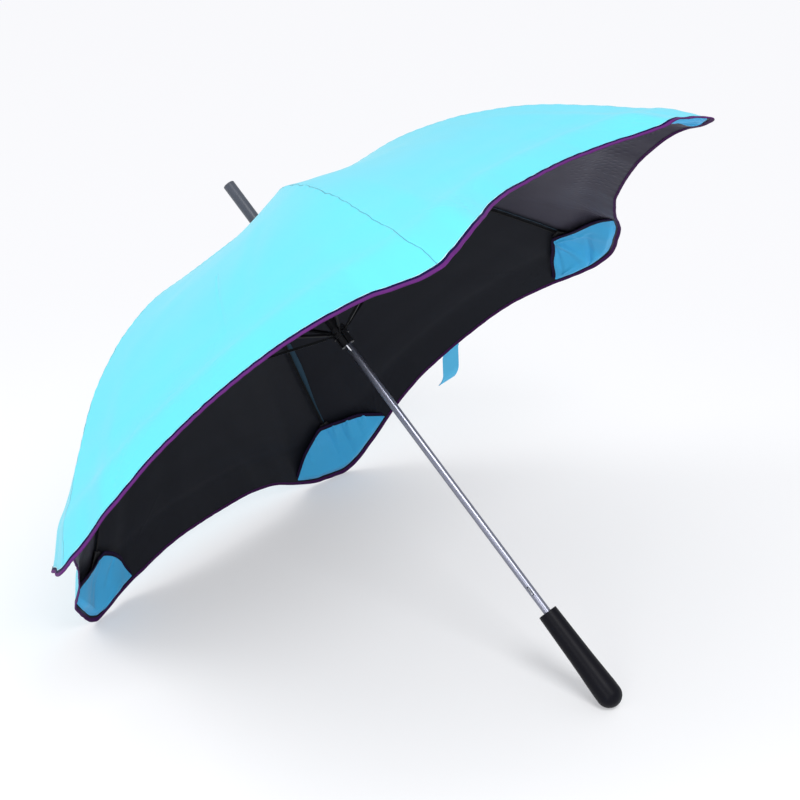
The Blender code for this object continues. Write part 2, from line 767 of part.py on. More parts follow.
def make_spreader(shop, name):
    shares = Profile(np.linspace(0, 1, len(SPREADER_SHARES)), SPREADER_SHARES)
    widths = Profile(SPREADER_SHARES, SPREADER_HALF_WIDTHS)

    def place(u, v):
        level = shares.at(u)
        return under_cloth(level, angle_at(level, v * widths.at(level)), ROD_DEPTH)

    plate = shop.sheet(name, 6, SPREADER_COLUMNS, place, SPREADER_THICKNESS)
    line = [rod_point(float(s)) for s in np.linspace(HUB_SHARES[0], HUB_SHARES[1], 4)]
    hub = shop.rod("hub", line, HUB_RADIUS)
    plate = shop.combine(plate, hub, "UNION")
    line = [rod_point(s) for s in hub_levels()]
    line[0] += (line[0] - line[1]).normalized() * HUB_RADIUS
    line[-1] += (line[-1] - line[-2]).normalized() * GAP
    bore = shop.rod("hub_bore", line, ROD_RADIUS + GAP, 1)
    return shop.combine(plate, bore, "DIFFERENCE")


def make_pocket(shop, name):
    def place(u, v):
        side = abs(v)
        top = POCKET_PEAK_SHARE + (POCKET_CORNER_SHARE - POCKET_PEAK_SHARE) * side ** POCKET_PEAK_POWER
        level = POCKET_FOOT_SHARE - (POCKET_FOOT_SHARE - top) * (1 - u) ** POCKET_ROW_POWER
        near_side = min((1 - side) / POCKET_SIDE_SHARE, 1)
        near_foot = min((POCKET_FOOT_SHARE - level) / POCKET_LOW_SHARE, 1)
        fill = math.sin(math.radians(90) * near_side) * math.sin(math.radians(90) * near_foot)
        depth = POCKET_EDGE_DEPTH + (POCKET_DEPTH - POCKET_EDGE_DEPTH) * fill
        return under_cloth(level, v * POCKET_HALF_ANGLE, depth)

    return shop.sheet(name, POCKET_ROWS, POCKET_COLUMNS, place, POCKET_CLOTH)


def column_angle(v, radius):
    """The angle of a column of the cloth: closer together at the rib, where the tip is round."""
    margin = math.degrees(GAP / 2 / radius)
    return math.copysign(abs(v) ** COLUMN_POWER, v) * (GORE_HALF - margin)


def make_canopy(shop, name):
    last = CLOTH_EDGE - level_share(GAP)

    def place(u, v):
        level = CLOTH_HOLE_LEVEL + (last - CLOTH_HOLE_LEVEL) * (1 - (1 - u) ** ROW_POWER)
        return canopy_point(level, column_angle(v, canopy_point(level, GORE_HALF).xy.length))

    return shop.sheet(name, CLOTH_ROWS, CLOTH_COLUMNS, place, CLOTH)


def make_binding(shop, name):
    radius = CANOPY_RADIUS * HEM_RADIUS_SHARES[-2]

    def place(u, v):
        return canopy_point(CLOTH_EDGE + (1 - CLOTH_EDGE) * u, column_angle(v, radius))

    return shop.sheet(name, 1, CLOTH_COLUMNS, place, BINDING_THICKNESS)


def make_strap(shop, down):
    """The closing strap, hanging from the hem outside the cloth."""
    top = canopy_point(1, STRAP_ANGLE)
    out = canopy_normal(1, STRAP_ANGLE)
    lift = BINDING_THICKNESS / 2 + STRAP_THICKNESS + GAP
    start = top + out * lift
    across = (canopy_point(1, STRAP_ANGLE + 1) - canopy_point(1, STRAP_ANGLE - 1)).normalized()
    root = (top - canopy_point(CLOTH_EDGE, STRAP_ANGLE)).normalized()
    flat = across - down * across.dot(down)
    reach = STRAP_WIDTH / 2 / flat.length
    aside = flat.normalized()

    def place(u, v):
        turn = min(u / STRAP_TURN_SHARE, 1)
        bend = max(u - STRAP_BEND_SHARE, 0) / (1 - STRAP_BEND_SHARE)
        way = (root * (1 - turn) + down * turn).normalized()
        length = STRAP_LENGTH * (1 + STRAP_SKEW_SHARE * v)
        point = start + across * reach * v + way * length * u
        return point + (aside * STRAP_LEAN + out * STRAP_CURL) * bend * bend

    return shop.sheet("closing_strap", STRAP_STEPS, 4, place, STRAP_THICKNESS)


def make_material(name, colour, metallic=0, roughness=0.5):
    material = bpy.data.materials.new(name)
    material.use_nodes = True
    shader = material.node_tree.nodes["Principled BSDF"]
    shader.inputs["Base Color"].default_value = COLOURS[colour]
    shader.inputs["Metallic"].default_value = metallic
    shader.inputs["Roughness"].default_value = roughness
    material.diffuse_color = COLOURS[colour]
    return material


def finish(item, colour, metallic=0, roughness=0.5):
    item.data.materials.clear()
    item.data.materials.append(make_material(item.name, colour, metallic, roughness))


def points_of(items):
    return np.array([item.matrix_world @ v.co for item in items for v in item.data.vertices])


def lowest(points, tilt):
    """The lowest height of a set of local points when the stick leans by tilt."""
    return float((points[:, 2] * math.sin(tilt) - points[:, 0] * math.cos(tilt)).min())


def lying_tilt(tips, grip):
    """The stick's tilt at which two tips and the grip touch the floor together."""
    low, high = math.radians(20), math.radians(70)
    for _ in range(60):
        middle = (low + high) / 2
        if lowest(tips, middle) < lowest(grip, middle):
            low = middle
        else:
            high = middle
    return (low + high) / 2


def lying_frame(tilt):
    """Local X, Y and Z as they lie in the world: down, aside and along the stick."""
    down = Vector((-math.sin(tilt), 0, -math.cos(tilt)))
    along = Vector((-math.cos(tilt), 0, math.sin(tilt)))
    return Matrix((down, (0, -1, 0), along)).transposed()


def new_empty(shop, name, parent=None, matrix=None):
    item = bpy.data.objects.new(name, None)
    item.empty_display_size = PIVOT_RADIUS
    shop.parts.objects.link(item)
    item.parent = parent
    if matrix is not None:
        item.matrix_basis = matrix
    return item


def set_on(item, parent, origin):
    """Give an object its origin at a point of its parent's frame."""
    item.data.transform(Matrix.Translation(-Vector(origin)))
    item.parent = parent
    item.matrix_basis = Matrix.Translation(origin)


def build():
    clear_scene()
    shop = Shop()
    root = new_empty(shop, "umbrella_root")
    stick = [
        (make_shaft(shop), "steel", 1, 0.22),
        (make_grip(shop), "black", 0, 0.45),
        (make_ferrule(shop), "dark_steel", 0.4, 0.35),
        (make_cap(shop), "black", 0, 0.4),
        (make_crown(shop), "black", 0, 0.4),
        (make_wire(shop, "crown_wire", CROWN_PIVOT), "steel", 1, 0.3),
        (make_stop(shop), "steel", 1, 0.3),
    ]
    runner = [
        (make_runner(shop), "black", 0, 0.4),
        (make_wire(shop, "runner_wire", RUNNER_PIVOT), "steel", 1, 0.3),
    ]
    catches = [
        (make_catch(shop, "catch_upper", CATCH_TOP_HEIGHT, True), CATCH_TOP_HEIGHT),
        (make_catch(shop, "catch_lower", CATCH_BOTTOM_HEIGHT, False), CATCH_BOTTOM_HEIGHT),
    ]
    for item, colour, metallic, roughness in stick + runner:
        finish(item, colour, metallic, roughness)
    for item, height in catches:
        finish(item, "steel", 1, 0.25)

    ribs = {}
    for letter in RIB_NAMES:
        pieces = {
            "rib": (make_rib(shop, "rib_" + letter), "dark_steel", 0.6, 0.4),
            "stretcher": (make_stretcher(shop, "stretcher_" + letter), "dark_steel", 0.6, 0.4),
            "spreader": (make_spreader(shop, "spreader_" + letter), "black", 0, 0.5),
            "pocket": (make_pocket(shop, "pocket_" + letter), "pocket_blue", 0, 0.8),
            "canopy": (make_canopy(shop, "canopy_" + letter), "turquoise", 0, 0.8),
            "binding": (make_binding(shop, "binding_" + letter), "purple", 0, 0.8),
        }
        for item, colour, metallic, roughness in pieces.values():
            finish(item, colour, metallic, roughness)
        ribs[letter] = {key: value[0] for key, value in pieces.items()}

    turns = {k: Matrix.Rotation(math.radians(a), 4, "Z") for k, a in RIB_AZIMUTH.items()}
    tips = []
    for letter in ("E", "F"):
        for vertex in ribs[letter]["binding"].data.vertices:
            tips.append(turns[letter] @ vertex.co)
    grip = np.array([v.co for v in stick[1][0].data.vertices])
    tilt = lying_tilt(np.array(tips), grip)
    frame = lying_frame(tilt)

    down = turns[STRAP_RIB].to_3x3().inverted() @ (frame.inverted() @ Vector((0, 0, -1)))
    strap = make_strap(shop, down)
    finish(strap, "strap_blue", 0, 0.8)
    ribs[STRAP_RIB]["strap"] = strap

    for item, *_ in stick:
        set_on(item, root, (0, 0, 0))
    for item, *_ in runner:
        set_on(item, root, (0, 0, RUNNER_PIVOT))
    side = Matrix.Rotation(math.radians(CATCH_AZIMUTH), 3, "Z") @ Vector((SHAFT_RADIUS, 0, 0))
    for item, height in catches:
        set_on(item, root, side + Vector((0, 0, height)))
    for letter, pieces in ribs.items():
        arm = new_empty(shop, "azimuth_" + letter, root, turns[letter])
        for key, item in pieces.items():
            set_on(item, arm, JOINT_POINT if key == "stretcher" else CROWN_POINT)

    bpy.context.view_layer.update()
    everything = [item for item in shop.parts.objects if item.type == "MESH"]
    root.matrix_basis = frame.to_4x4()
    bpy.context.view_layer.update()
    points = points_of(everything)
    low, high = points.min(axis=0), points.max(axis=0)
    home = Vector((-(low[0] + high[0]) / 2, -(low[1] + high[1]) / 2, -low[2]))
    root.matrix_basis = Matrix.Translation(home) @ frame.to_4x4()
    bpy.context.view_layer.update()


build()
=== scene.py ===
"""Looks of a straight umbrella that lies open on its side on a pale floor.

The stick stands along local Z, with the centre of the grip's round end at the origin. Each rib
has a frame of its own, with X along the rib and Z along the stick, and ``Placement`` lays these
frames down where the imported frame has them. All sizes are in metres and all angles in degrees.
"""

import json
import logging
import math
from collections.abc import Callable, Sequence
from dataclasses import dataclass, replace
from enum import Enum
from functools import partial
from typing import Any

import bmesh
import bpy
import numpy as np
from mathutils import Matrix, Vector


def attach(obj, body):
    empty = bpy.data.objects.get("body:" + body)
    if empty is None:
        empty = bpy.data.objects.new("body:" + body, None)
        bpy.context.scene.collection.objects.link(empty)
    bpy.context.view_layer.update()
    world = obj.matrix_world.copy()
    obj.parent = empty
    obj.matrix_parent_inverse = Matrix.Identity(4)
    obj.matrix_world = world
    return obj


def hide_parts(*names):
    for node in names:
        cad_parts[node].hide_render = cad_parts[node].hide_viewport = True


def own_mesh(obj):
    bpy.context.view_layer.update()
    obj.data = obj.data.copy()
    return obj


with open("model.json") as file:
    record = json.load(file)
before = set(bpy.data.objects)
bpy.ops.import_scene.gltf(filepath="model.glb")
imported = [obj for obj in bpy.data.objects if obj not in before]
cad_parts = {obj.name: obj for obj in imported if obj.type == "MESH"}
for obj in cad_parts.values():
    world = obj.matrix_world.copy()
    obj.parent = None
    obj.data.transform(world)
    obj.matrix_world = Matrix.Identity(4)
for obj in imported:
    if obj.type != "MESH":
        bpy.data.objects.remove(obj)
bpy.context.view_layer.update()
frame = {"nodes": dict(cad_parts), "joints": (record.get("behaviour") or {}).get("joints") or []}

LOG = logging.getLogger("umbrella")
Points = np.ndarray


class Rib(Enum):
    """The six ribs, by letter, and the azimuth of each about the stick."""

    A = 90.0
    B = 150.0
    C = -150.0
    D = -90.0
    E = -30.0
    F = 30.0

    @property
    def body(self) -> str:
        """Name of the body that carries this rib."""
        return "rib_" + self.name

    @property
    def hinge(self) -> str:
        """Name of the joint that turns this rib."""
        return "rib_hinge_" + self.name


# Shader maths


def _operator(operation: str, swapped: bool = False) -> Callable[["Value", Any], "Value"]:
    """A method of Value that works on one more term.

    Args:
        operation: Blender's name of the operation.
        swapped: Whether the other term goes in first.

    Returns:
        The method.
    """

    def method(value: "Value", other: Any) -> "Value":
        terms = (other, value) if swapped else (value, other)
        return value.math(operation, *terms)

    return method


class Value:
    """A number or colour in a shader that can be used in Python arithmetic."""

    def __init__(self, graph: "Graph", socket: bpy.types.NodeSocket) -> None:
        """Wrap an output socket of a graph."""
        self.graph = graph
        self.socket = socket

    def math(self, operation: str, *terms: Any) -> "Value":
        """Add a Math node with values or numbers going in, and return its result."""
        sockets = dict(enumerate(terms))
        return self.graph.node("ShaderNodeMath", {"operation": operation}, sockets)[0]

    __add__ = __radd__ = _operator("ADD")
    __sub__ = _operator("SUBTRACT")
    __rsub__ = _operator("SUBTRACT", swapped=True)
    __mul__ = __rmul__ = _operator("MULTIPLY")
    most = _operator("MAXIMUM")

    def __abs__(self) -> "Value":
        """Absolute value."""
        return self.math("ABSOLUTE", self)

    def sine(self) -> "Value":
        """Sine of the value in radians."""
        return self.math("SINE", self)

    def fade(self, low: float, high: float) -> "Value":
        """A smooth step from zero at low to one at high."""
        made = self.graph.node(
            "ShaderNodeMapRange",
            {"interpolation_type": "SMOOTHSTEP", "clamp": True},
            {"Value": self, "From Min": low, "From Max": high, "To Min": 0.0, "To Max": 1.0},
        )
        return made["Result"]


class Outputs:
    """The outputs of one node, by name or number."""

    def __init__(self, graph: "Graph", node: bpy.types.Node) -> None:
        """Wrap a node."""
        self.graph = graph
        self.raw = node

    def __getitem__(self, key: int | str) -> Value:
        """The output with that name or number."""
        return Value(self.graph, self.raw.outputs[key])


class Graph:
    """The node tree of one material."""

    def __init__(self, name: str) -> None:
        """Start a material with an empty tree."""
        self.material = bpy.data.materials.new(name)
        self.material.use_nodes = True
        self.tree = self.material.node_tree
        self.tree.nodes.clear()

    def node(
        self,
        kind: str,
        settings: dict[str, Any] | None = None,
        sockets: dict[int | str, Any] | None = None,
    ) -> Outputs:
        """Add a node.

        Args:
            kind: Blender's type name of the node.
            settings: Properties that are set first.
            sockets: Values or links of its inputs, by name or number.

        Returns:
            The node's outputs.
        """
        made = self.tree.nodes.new(kind)
        for key, value in (settings or {}).items():
            setattr(made, key, value)
        for key, value in (sockets or {}).items():
            if isinstance(value, Value):
                self.tree.links.new(value.socket, made.inputs[key])
            else:
                made.inputs[key].default_value = value
        return Outputs(self, made)

    def place(self) -> Value:
        """Object coordinates, in metres."""
        return self.node("ShaderNodeTexCoord")["Object"]

    def map(self, name: str) -> tuple[Value, Value]:
        """The two coordinates of a UV map, in metres."""
        uv = self.node("ShaderNodeUVMap", {"uv_map": name})["UV"]
        split = self.node("ShaderNodeSeparateXYZ", sockets={0: uv})
        return split["X"], split["Y"]

    def stored(self, name: str) -> Value:
        """A value that is stored for each point of the mesh."""
        return self.node("ShaderNodeAttribute", {"attribute_name": name})["Fac"]

    def join(self, x: Any, y: Any, z: Any = 0.0) -> Value:
        """A vector from three values."""
        return self.node("ShaderNodeCombineXYZ", sockets={0: x, 1: y, 2: z})["Vector"]

    def noise(self, vector: Value, scale: float, detail: float = 3.0, rough: float = 0.5) -> Value:
        """Soft noise from 0 to 1.

        Args:
            vector: Where it is read.
            scale: Lumps a metre.
            detail: Octaves.
            rough: How strong the finer octaves are.

        Returns:
            The noise's value.
        """
        sockets = {"Vector": vector, "Scale": scale, "Detail": detail, "Roughness": rough}
        return self.node("ShaderNodeTexNoise", {"noise_dimensions": "3D"}, sockets)[0]

    def mix(self, share: Any, first: Any, second: Any) -> Value:
        """A colour between two colours."""
        settings = {"data_type": "RGBA", "blend_type": "MIX", "clamp_factor": True}
        return self.node("ShaderNodeMix", settings, {0: share, 6: first, 7: second})[2]

    def bump(self, height: Value, distance: float, strength: float = 1.0) -> Value:
        """A normal from a height between 0 and 1 that stands for a distance in metres."""
        sockets = {"Height": height, "Distance": distance, "Strength": strength}
        return self.node("ShaderNodeBump", sockets=sockets)["Normal"]

    def surface(self, sockets: dict[int | str, Any]) -> bpy.types.Material:
        """End the tree with a Principled shader.

        Args:
            sockets: Values or links of the shader's inputs.

        Returns:
            The finished material.
        """
        shader = self.node("ShaderNodeBsdfPrincipled", sockets=sockets)["BSDF"]
        self.node("ShaderNodeOutputMaterial", sockets={"Surface": shader})
        return self.material


Colour = tuple[float, float, float, float]


def srgb(red: int, green: int, blue: int) -> Colour:
    """A colour as a shader wants it, from the numbers that a picture shows.

    Args:
        red: Red, 0 to 255.
        green: Green, 0 to 255.
        blue: Blue, 0 to 255.

    Returns:
        Linear red, green, blue and an alpha of one.
    """
    parts = []
    for part in (red / 255, green / 255, blue / 255):
        parts.append(part / 12.92 if part <= 0.04045 else ((part + 0.055) / 1.055) ** 2.4)
    return (parts[0], parts[1], parts[2], 1.0)


def shade(colour: Colour, factor: float) -> Colour:
    """The same colour, darker or lighter."""
    return (colour[0] * factor, colour[1] * factor, colour[2] * factor, 1.0)


@dataclass(frozen=True)
class Cloth:
    """Plain-woven cloth with fine threads, faint unevenness and a sewn seam where asked.

    Attributes:
        name: The material's name.
        colour: The dyed colour.
        roughness: How dull the face is.
        sheen: Strength of the soft edge glow.
        thread: Distance between threads.
        seam: Width of the turned-in cloth beside the seam, or zero for none.
        mottle: How much the colour varies over the cloth.
        sway: How far the seam wanders sideways.
        crease: Distance between the fine creases where the cloth is worn.
        hem_highlight: The pale colour of the painted highlight on the cloth just inside the hem tape.
    """

    name: str
    colour: Colour
    roughness: float = 0.8
    sheen: float = 0.15
    thread: float = 0.00045
    seam: float = 0.0
    mottle: float = 0.04
    sway: float = 0.0100
    crease: float = 0.0062
    hem_highlight: Colour = (0.80, 0.95, 0.98, 1)

    def make(self) -> bpy.types.Material:
        """Build the material."""
        g = Graph(self.name)
        across, along = g.map("cloth")
        place = g.place()
        turn = math.pi / self.thread
        weave = (across * turn).sine() * (along * turn).sine() * 0.5 + 0.5
        cloudy = g.noise(place, 9.0, 4.0, 0.6)
        fine = g.noise(place, 160.0, 2.0, 0.5)
        height = weave * 0.03 + fine * 0.04
        tone = cloudy * 0.7 + fine * 0.3
        colour = g.mix(tone, shade(self.colour, 1 - self.mottle), shade(self.colour, 1 + self.mottle))
        if self.seam:
            sway = (g.noise(g.join(0.0, along, 3.0), 42.0, 2.0, 0.5) - 0.5) * self.sway
            off = across + sway
            groove = abs(off).fade(0.0008, 0.0001)
            lip = abs(off - 0.0014).fade(0.0016, 0.0002)
            fold = off.fade(-0.0002, 0.0003) * off.fade(self.seam + 0.0006, self.seam - 0.0004)
            creases = g.stored("creases")
            turns = along * (math.tau / self.crease) + fine * 5.0 + cloudy * 9.0
            lines = turns.sine() * 0.5 + 0.5
            broken = g.noise(place, 60.0, 2.0, 0.5).fade(0.45, 0.62)
            height = height + lip * 0.45 + fold * 0.12 - groove * 0.6
            height = height + lines * broken * creases * 0.35
            # Painted shade: the seam's groove is darkened. Painted highlight: the lip beside it is
            # lightened.
            colour = g.mix(groove * 0.75, colour, shade(self.colour, 0.42))
            colour = g.mix(lip * 0.3, colour, shade(self.colour, 1.15))
            # Painted highlight: the cloth just inside the tape's edge is lightened towards a pale
            # tint.
            hem_highlight = g.stored("hem_gap").fade(0.0018, 0.0006)
            colour = g.mix(hem_highlight * (0.35 + fine * 0.4), colour, self.hem_highlight)
            height = height + hem_highlight * 0.4
        return g.surface(
            {
                "Base Color": colour,
                "Roughness": fine * 0.1 + (self.roughness - 0.05),
                "Sheen Weight": self.sheen,
                "Sheen Roughness": 0.5,
                "Normal": g.bump(height, 0.0009, 0.8),
            }
        )


@dataclass(frozen=True)
class CoatedCloth:
    """The canopy's inner face: cloth under a dark coat with a dull shine.

    Attributes:
        name: The material's name.
        colour: The coat's colour.
        roughness: How dull the face is.
        faded: The coat's paler colour where painted light lightens it.
        tint: The colour of the soft edge glow.
        row: Distance between rows of puckers.
        dash: Distance between the puckers of a row.
    """

    name: str
    colour: Colour
    roughness: float = 0.5
    faded: Colour = srgb(68, 65, 78)
    tint: Colour = (0.82, 0.80, 1.0, 1.0)
    row: float = 0.0125
    dash: float = 0.0105

    def make(self) -> bpy.types.Material:
        """Build the material."""
        g = Graph(self.name)
        across, along = g.map("cloth")
        place = g.place()
        cloudy = g.noise(place, 14.0, 5.0, 0.6)
        fine = g.noise(place, 420.0, 2.0, 0.5)
        colour = g.mix(cloudy, shade(self.colour, 0.85), shade(self.colour, 1.2))
        puckers = g.stored("puckers")
        row = (along * (math.tau / self.row) + across * 60.0).sine()
        dash = (across * (math.tau / self.dash) + along * 90.0).sine()
        bead = (row * dash).most(0.0) * puckers
        broken = g.noise(place, 70.0, 2.0, 0.5).fade(0.38, 0.55)
        height = fine * 0.06 + cloudy * 0.1 + bead * broken * 0.6
        # Painted shade: the puckers are darkened on top of their bump.
        colour = g.mix(bead * broken * 0.5, colour, shade(self.colour, 0.6))
        # Painted light: the coat is lightened towards a paler colour in the gore from rib C to rib D.
        colour = g.mix(g.stored("faded") * 0.7, colour, self.faded)
        return g.surface(
            {
                "Base Color": colour,
                "Roughness": cloudy * 0.12 + (self.roughness - 0.06),
                "Specular IOR Level": 0.12,
                "Sheen Weight": 0.24,
                "Sheen Roughness": 0.3,
                "Sheen Tint": self.tint,
                "Normal": g.bump(height, 0.0009, 0.8),
            }
        )


@dataclass(frozen=True)
class Tape:
    """Ribbed binding tape with one row of stitches and a dark edge.

    Attributes:
        name: The material's name.
        colour: The dyed colour.
        edge_colour: The colour of the edge that lies on the cloth.
        edge: How far that edge lies from the fold.
        roughness: How dull the face is.
        rib: Distance between the tape's ribs.
        stitch: Length of a stitch and its gap.
        row: Where the stitches run, as a share of the way to the edge.
    """

    name: str
    colour: Colour
    edge_colour: Colour
    edge: float
    roughness: float = 0.6
    rib: float = 0.0011
    stitch: float = 0.0030
    row: float = 0.62

    def make(self) -> bpy.types.Material:
        """Build the material."""
        g = Graph(self.name)
        across, along = g.map("cloth")
        rib = (along * (math.tau / self.rib)).sine() * 0.5 + 0.5
        line = abs(abs(across) - self.edge * self.row).fade(0.00035, 0.0)
        stitch = (along * (math.tau / self.stitch)).sine().fade(-0.4, 0.2)
        sewn = line * stitch
        cloudy = g.noise(g.place(), 60.0, 3.0, 0.6)
        rubbed = g.noise(g.place(), 22.0, 4.0, 0.6)
        colour = g.mix(cloudy, shade(self.colour, 0.75), shade(self.colour, 1.25))
        colour = g.mix(rubbed * 0.35, colour, shade(self.colour, 0.6))
        colour = g.mix(sewn * 0.5, colour, shade(self.colour, 1.9))
        # Painted shade: the tape's inner leg, where across is below zero, is darkened.
        colour = g.mix(across.fade(0.0006, -0.0006), colour, shade(self.colour, 0.4))
        outermost = (across + cloudy * 0.0008).fade(self.edge - 0.0040, self.edge - 0.0033)
        colour = g.mix(outermost, colour, self.edge_colour)
        height = rib * 0.2 + line * 0.3 + cloudy * 0.5
        return g.surface(
            {
                "Base Color": colour,
                "Roughness": rib * 0.1 + (self.roughness - 0.05),
                "Specular IOR Level": 0.08,
                "Normal": g.bump(height, 0.0004, 0.6),
            }
        )


@dataclass(frozen=True)
class Steel:
    """Drawn steel, a little uneven in tone and shine."""

    name: str
    colour: Colour
    roughness: float = 0.2

    def make(self) -> bpy.types.Material:
        """Build the material."""
        g = Graph(self.name)
        place = g.place()
        marks = g.noise(place, 14.0, 3.0, 0.5)
        fine = g.noise(place, 300.0, 2.0, 0.5)
        tone = marks * 0.7 + fine * 0.3
        return g.surface(
            {
                "Base Color": g.mix(tone, shade(self.colour, 0.9), shade(self.colour, 1.08)),
                "Metallic": 1.0,
                "Roughness": tone * 0.06 + (self.roughness - 0.03),
            }
        )


@dataclass(frozen=True)
class Moulded:
    """Moulded plastic or lacquer with a fine grain and paler rubbed places."""

    name: str
    colour: Colour
    roughness: float = 0.45
    grain: float = 1400.0
    depth: float = 0.00004
    wear: float = 0.5
    shine: float = 0.5

    def make(self) -> bpy.types.Material:
        """Build the material."""
        g = Graph(self.name)
        place = g.place()
        grain = g.noise(place, self.grain, 3.0, 0.6)
        rubbed = g.noise(place, 35.0, 5.0, 0.7).fade(0.5, 0.75)
        colour = g.mix(rubbed * self.wear, self.colour, shade(self.colour, 1.9))
        return g.surface(
            {
                "Base Color": g.mix(grain * 0.3, colour, shade(self.colour, 0.6)),
                "Roughness": rubbed * -0.08 + grain * 0.1 + (self.roughness - 0.03),
                "Specular IOR Level": self.shine,
                "Normal": g.bump(grain, self.depth, 0.8),
            }
        )


class Finishes:
    """All the umbrella's finishes, each made once."""

    outside = Cloth("outside_cloth", srgb(85, 201, 222), 0.8, 0.22, seam=0.0055)
    inside = CoatedCloth("inside_coat", srgb(22, 24, 31), 0.5)
    # Painted shade: the seam allowance is the turquoise cloth, coloured dark teal as it looks in shade
    # inside the canopy.
    allowance = Cloth("seam_allowance", srgb(24, 58, 78), 0.85, 0.05)
    binding = Tape("binding_tape", srgb(92, 36, 108), srgb(10, 4, 56), 0.0090)
    pocket = Cloth("pocket_cloth", srgb(53, 163, 216), 0.85, 0.12, mottle=0.06)
    piping = Tape("pocket_piping", srgb(40, 16, 52), srgb(26, 12, 44), 0.0040)
    strap = Cloth("strap_cloth", srgb(86, 190, 236), 0.8, 0.15, mottle=0.06)
    shaft = Steel("shaft_steel", srgb(136, 138, 152), 0.30)
    wire = Steel("wire_steel", srgb(190, 192, 198), 0.3)
    grip = Moulded("grip_black", srgb(8, 8, 17), 0.42, 1500.0, 0.00003, 0.2, 0.12)
    ferrule = Moulded("ferrule_grey", srgb(66, 68, 78), 0.35, 1800.0, 0.00002, 0.3)
    fitting = Moulded("fitting_black", srgb(16, 16, 20), 0.4, 1500.0, 0.00002, 0.5, 0.3)
    rod = Moulded("rod_black", srgb(14, 15, 18), 0.5, 900.0, 0.00002, 0.5, 0.15)
    spreader = Moulded("spreader_black", srgb(28, 28, 32), 0.5)

    _made: dict[str, bpy.types.Material] = {}

    @classmethod
    def get(cls, name: str) -> bpy.types.Material:
        """The material of a finish, made when it is first asked for."""
        if name not in cls._made:
            cls._made[name] = getattr(cls, name).make()
        return cls._made[name]


# Shapes


@dataclass(frozen=True)
class Profile:
    """A smooth line through a table, which never swings past the table's own values."""

    xs: tuple[float, ...]
    ys: tuple[float, ...]

    def tangents(self) -> Points:
        """Slope at each entry of the table."""
        xs, ys = np.array(self.xs, float), np.array(self.ys, float)
        step = np.diff(xs)
        slope = np.diff(ys) / step
        tangent = np.zeros(len(xs))
        for i in range(1, len(xs) - 1):
            if slope[i - 1] * slope[i] > 0:
                before = 2 * step[i] + step[i - 1]
                after = step[i] + 2 * step[i - 1]
                tangent[i] = (before + after) / (before / slope[i - 1] + after / slope[i])
        tangent[0], tangent[-1] = slope[0], slope[-1]
        return tangent

    def at(self, x: Points | float) -> Points:
        """The line's height.

        Args:
            x: One place or many.

        Returns:
            The height at each place.
        """
        xs, ys = np.array(self.xs, float), np.array(self.ys, float)
        tangent = self.tangents()
        x = np.asarray(x, float)
        i = np.clip(np.searchsorted(xs, x) - 1, 0, len(xs) - 2)
        step = xs[i + 1] - xs[i]
        t = (x - xs[i]) / step
        rise = t * t * (3 - 2 * t)
        value = ys[i] * (1 - rise) + ys[i + 1] * rise
        value = value + step * tangent[i] * t * (1 - t) ** 2
        return value - step * tangent[i + 1] * t * t * (1 - t)


